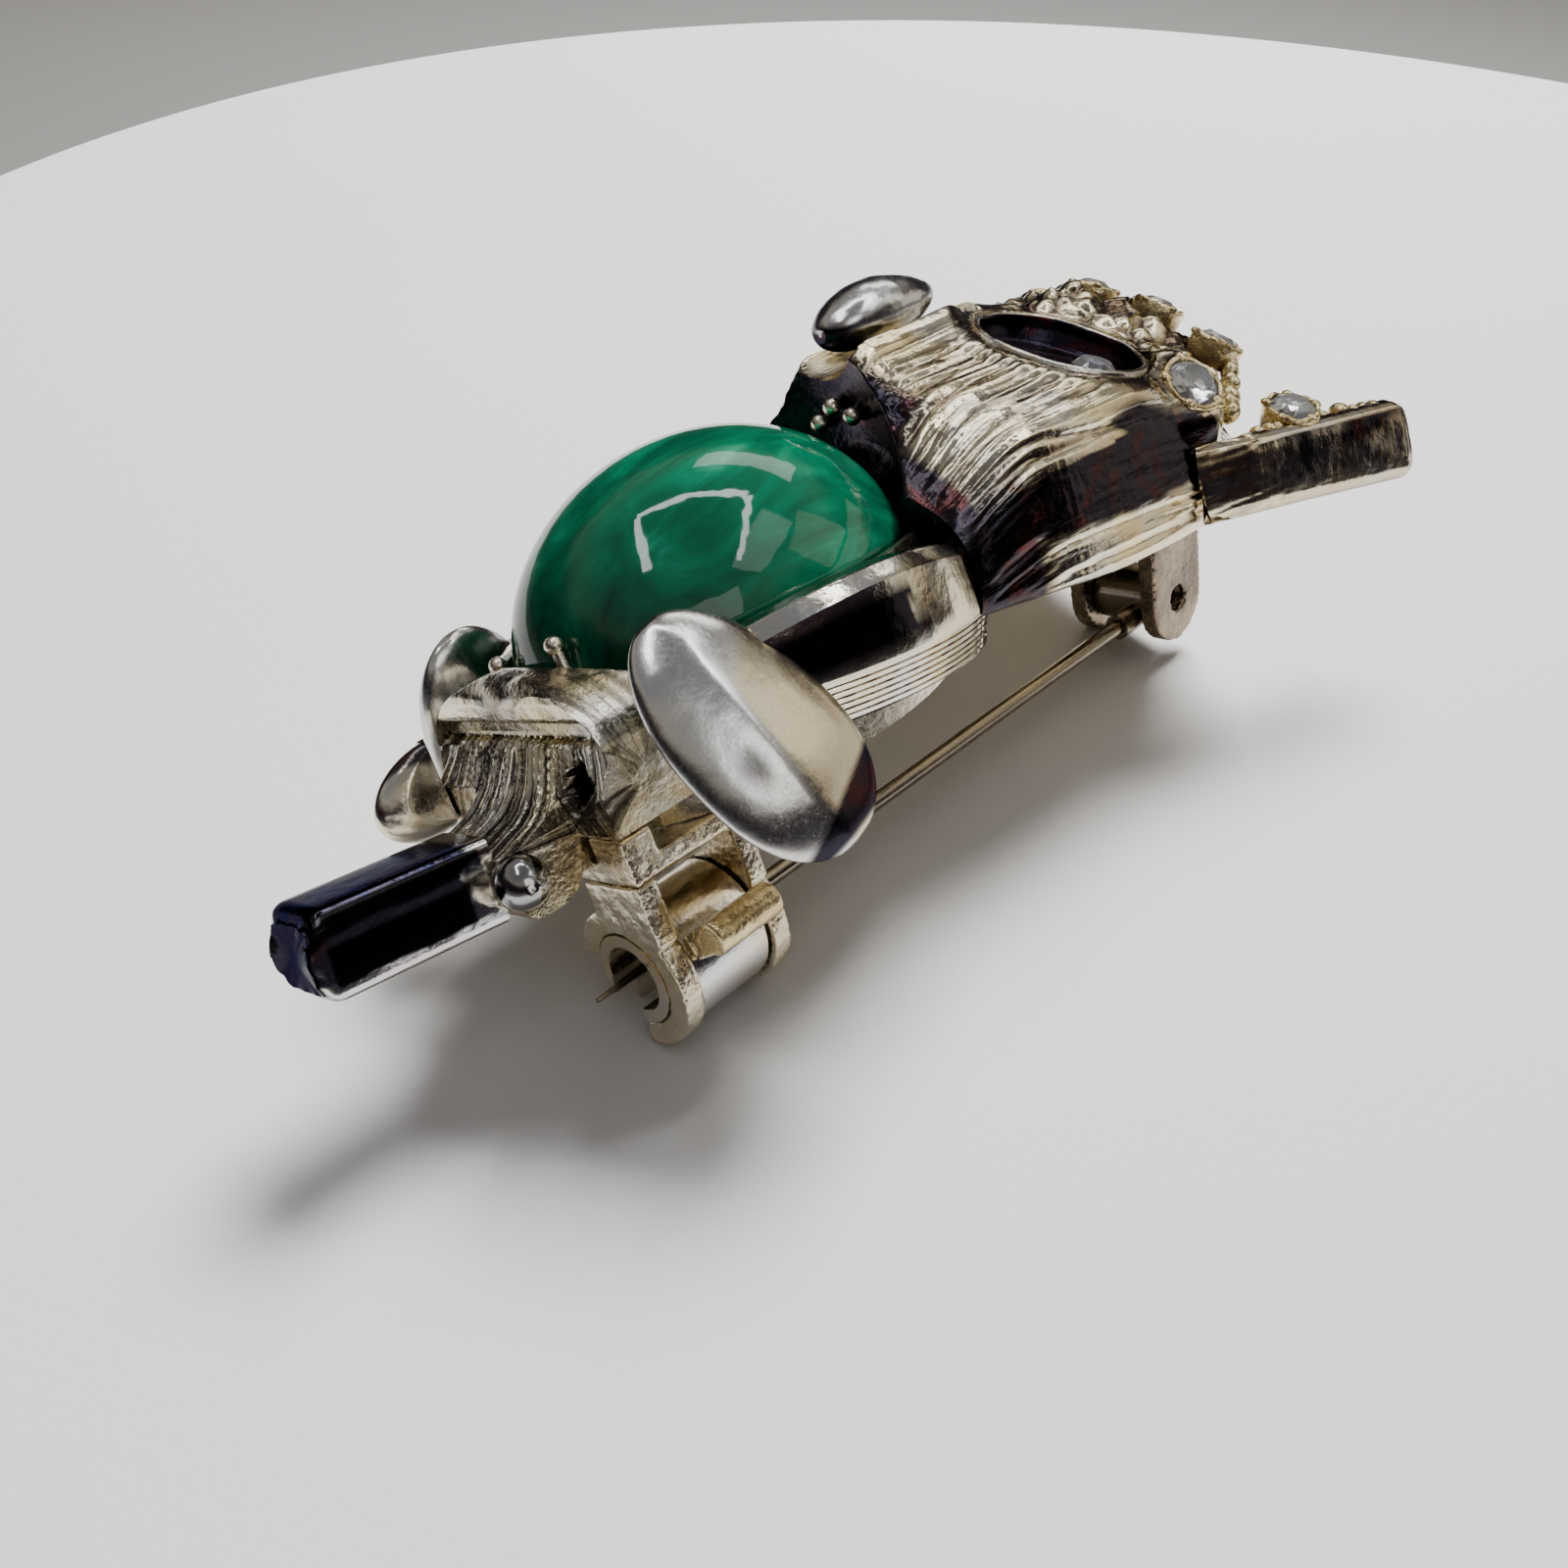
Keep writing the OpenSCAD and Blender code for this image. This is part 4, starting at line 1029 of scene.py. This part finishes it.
# ---- ears
def ear_points(y):
    inn = 8.4 if y < 20.6 else (8.4 - 0.16 * (y - 20.6) if y < 24 else 7.85 + 0.3 * (y - 24))
    out = 8.5 + 0.354 * (y - 18.2) if y < 20.6 else 9.35 + 0.21 * (y - 20.6)
    top = -1.5 - 0.17 * (y - 20.6)
    bot = -4.75 - 0.2 * (y - 20.6)
    return inn, out, top, bot


def ear(u, v):
    y = 18.25 + 12.15 * v
    inn, out, top, bot = ear_points(y)
    end = smooth01(0.94, 1.0, v) ** 2
    cx, cz = (inn + out) / 2, (top + bot) / 2
    sec = chaikin([(inn, bot + 0.3), (inn, top - 0.3), (inn + 0.25, top), (out - 0.4, top), (out, top - 0.4), (out, bot + 0.45), (out - 0.42, bot), (inn + 0.25, bot)], 2)
    k = u * len(sec)
    i = int(k) % len(sec)
    t = k - int(k)
    x = sec[i][0] + (sec[(i + 1) % len(sec)][0] - sec[i][0]) * t
    z = sec[i][1] + (sec[(i + 1) % len(sec)][1] - sec[i][1]) * t
    x, z = cx + (x - cx) * (1 - 0.2 * end), cz + (z - cz) * (1 - 0.12 * end)
    d = 0.02 * n3(y * 0.9, z, x) + 0.03 * ridge(noise.noise(Vector((z * 2, y * 0.2, 3)))) * smooth01(23, 21, y)
    root = smooth01(24.0, 21.5, y)
    face = smooth01(top - 0.2, top - 0.5, z) * smooth01(bot + 0.8, bot + 1.3, z + 0.15 * noise.noise(Vector((y * 1.5, z, 2.0))))
    p = Vector((x - d, y, z))
    seat = EAR_SEAT[0]
    r = math.hypot(x - seat[0], y - seat[1])
    if r < 1.25 and z > seat[2] - 0.6:
        p.z = seat[2] - 0.6
    lumps = smooth01(-0.1, 0.3, z - top + 0.5) * smooth01(out - 0.35, out - 0.6, x)
    p.z += 0.16 * lumps * (0.5 - noise.voronoi(Vector((x * 1.6, y * 1.6, 3.0)))[0][0])
    # painted reflection: the flat outer face is painted dark, broken up by the mirror noise, for the dark room
    # mirrored in the polish
    mirror = smooth01(-0.1, 0.25, noise.noise(Vector((z * 0.5, y * 0.25, 9.0))) + 0.12)
    return p, (0.5 * root * smooth01(-0.3, 0.4, n3(x, y, z)), face * (0.9 - 0.35 * mirror) * (1 - 0.8 * root), max(root * 0.8, lumps))


part = loft(ear, 128, 90)
build("ear_near", part[0], part[1], M_EAR, ["ear_right"], cav=part[2], angle=30)
m = mirrored(part)
tilt = far_ear
build("ear_far", [tilt @ p for p in m[0]], m[1], M_EAR, ["ear_left"], cav=m[2], angle=30)

# ---------------------------------------------------------------- materials on the carried-over nodes
LOOK = {
    "body_plate": M_GOLD, "stone_cup": M_GOLD, "cabochon": M_EMERALD, "stone_prongs": M_GOLD,
    "wing_left": M_SILVER, "wing_right": M_SILVER, "foot_left": M_FOOT, "foot_right": M_FOOT,
    "tail_root": M_CAST, "tail_bar": M_BAR_MIRROR, "tail_bead": M_BALL, "tail_spur": M_SILVER,
    "head_shell": M_CAST, "beak": M_SILVER, "chin_beads": M_GOLD,
    "eye_dish_left": M_HOLLOW, "eye_dish_right": M_HOLLOW,
    "eye_stone_left": M_CRYSTAL, "eye_stone_right": M_CRYSTAL,
    "brow_collets": M_GOLD, "brow_stones": M_CRYSTAL, "ear_left": M_SILVER, "ear_right": M_SILVER,
    "hinge_base": M_LUG, "hinge_rivet": M_PIN, "pin_eye": M_PIN, "pin_stem": M_PIN,
    "catch_base": M_CATCH, "catch_front_ring": M_CATCH, "catch_back_ring": M_CATCH,
    "catch_rotor": M_SILVER, "rotor_tab": M_BROW,
}
KEPT = ["body_plate", "stone_cup", "stone_prongs", "chin_beads", "tail_bead", "hinge_base", "hinge_rivet", "pin_eye", "pin_stem",
        "catch_base", "catch_front_ring", "catch_back_ring", "catch_rotor", "rotor_tab"]
CAST = ["catch_base", "catch_front_ring", "catch_back_ring", "rotor_tab", "hinge_base"]
for name in KEPT:
    o = bpy.data.objects[name]
    o.data.materials.clear()
    o.data.materials.append(LOOK[name])
    if name in CAST:
        re = o.modifiers.new("cast", "REMESH")
        re.mode = "VOXEL"
        re.voxel_size = 0.0001
        sm = o.modifiers.new("worn", "SMOOTH")
        sm.iterations = 4
        sm.factor = 0.5
        for poly in o.data.polygons:
            poly.use_smooth = True
        re.use_smooth_shade = True
        continue
    bev = o.modifiers.new("edges", "BEVEL")
    bev.width = 0.00008 if name not in ("pin_stem", "stone_prongs", "chin_beads") else 0.00003
    bev.segments = 3
    bev.limit_method = "ANGLE"
    bev.angle_limit = math.radians(35)
    for poly in o.data.polygons:
        poly.use_smooth = True
    wn = o.modifiers.new("normals", "WEIGHTED_NORMAL")
    wn.keep_sharp = True
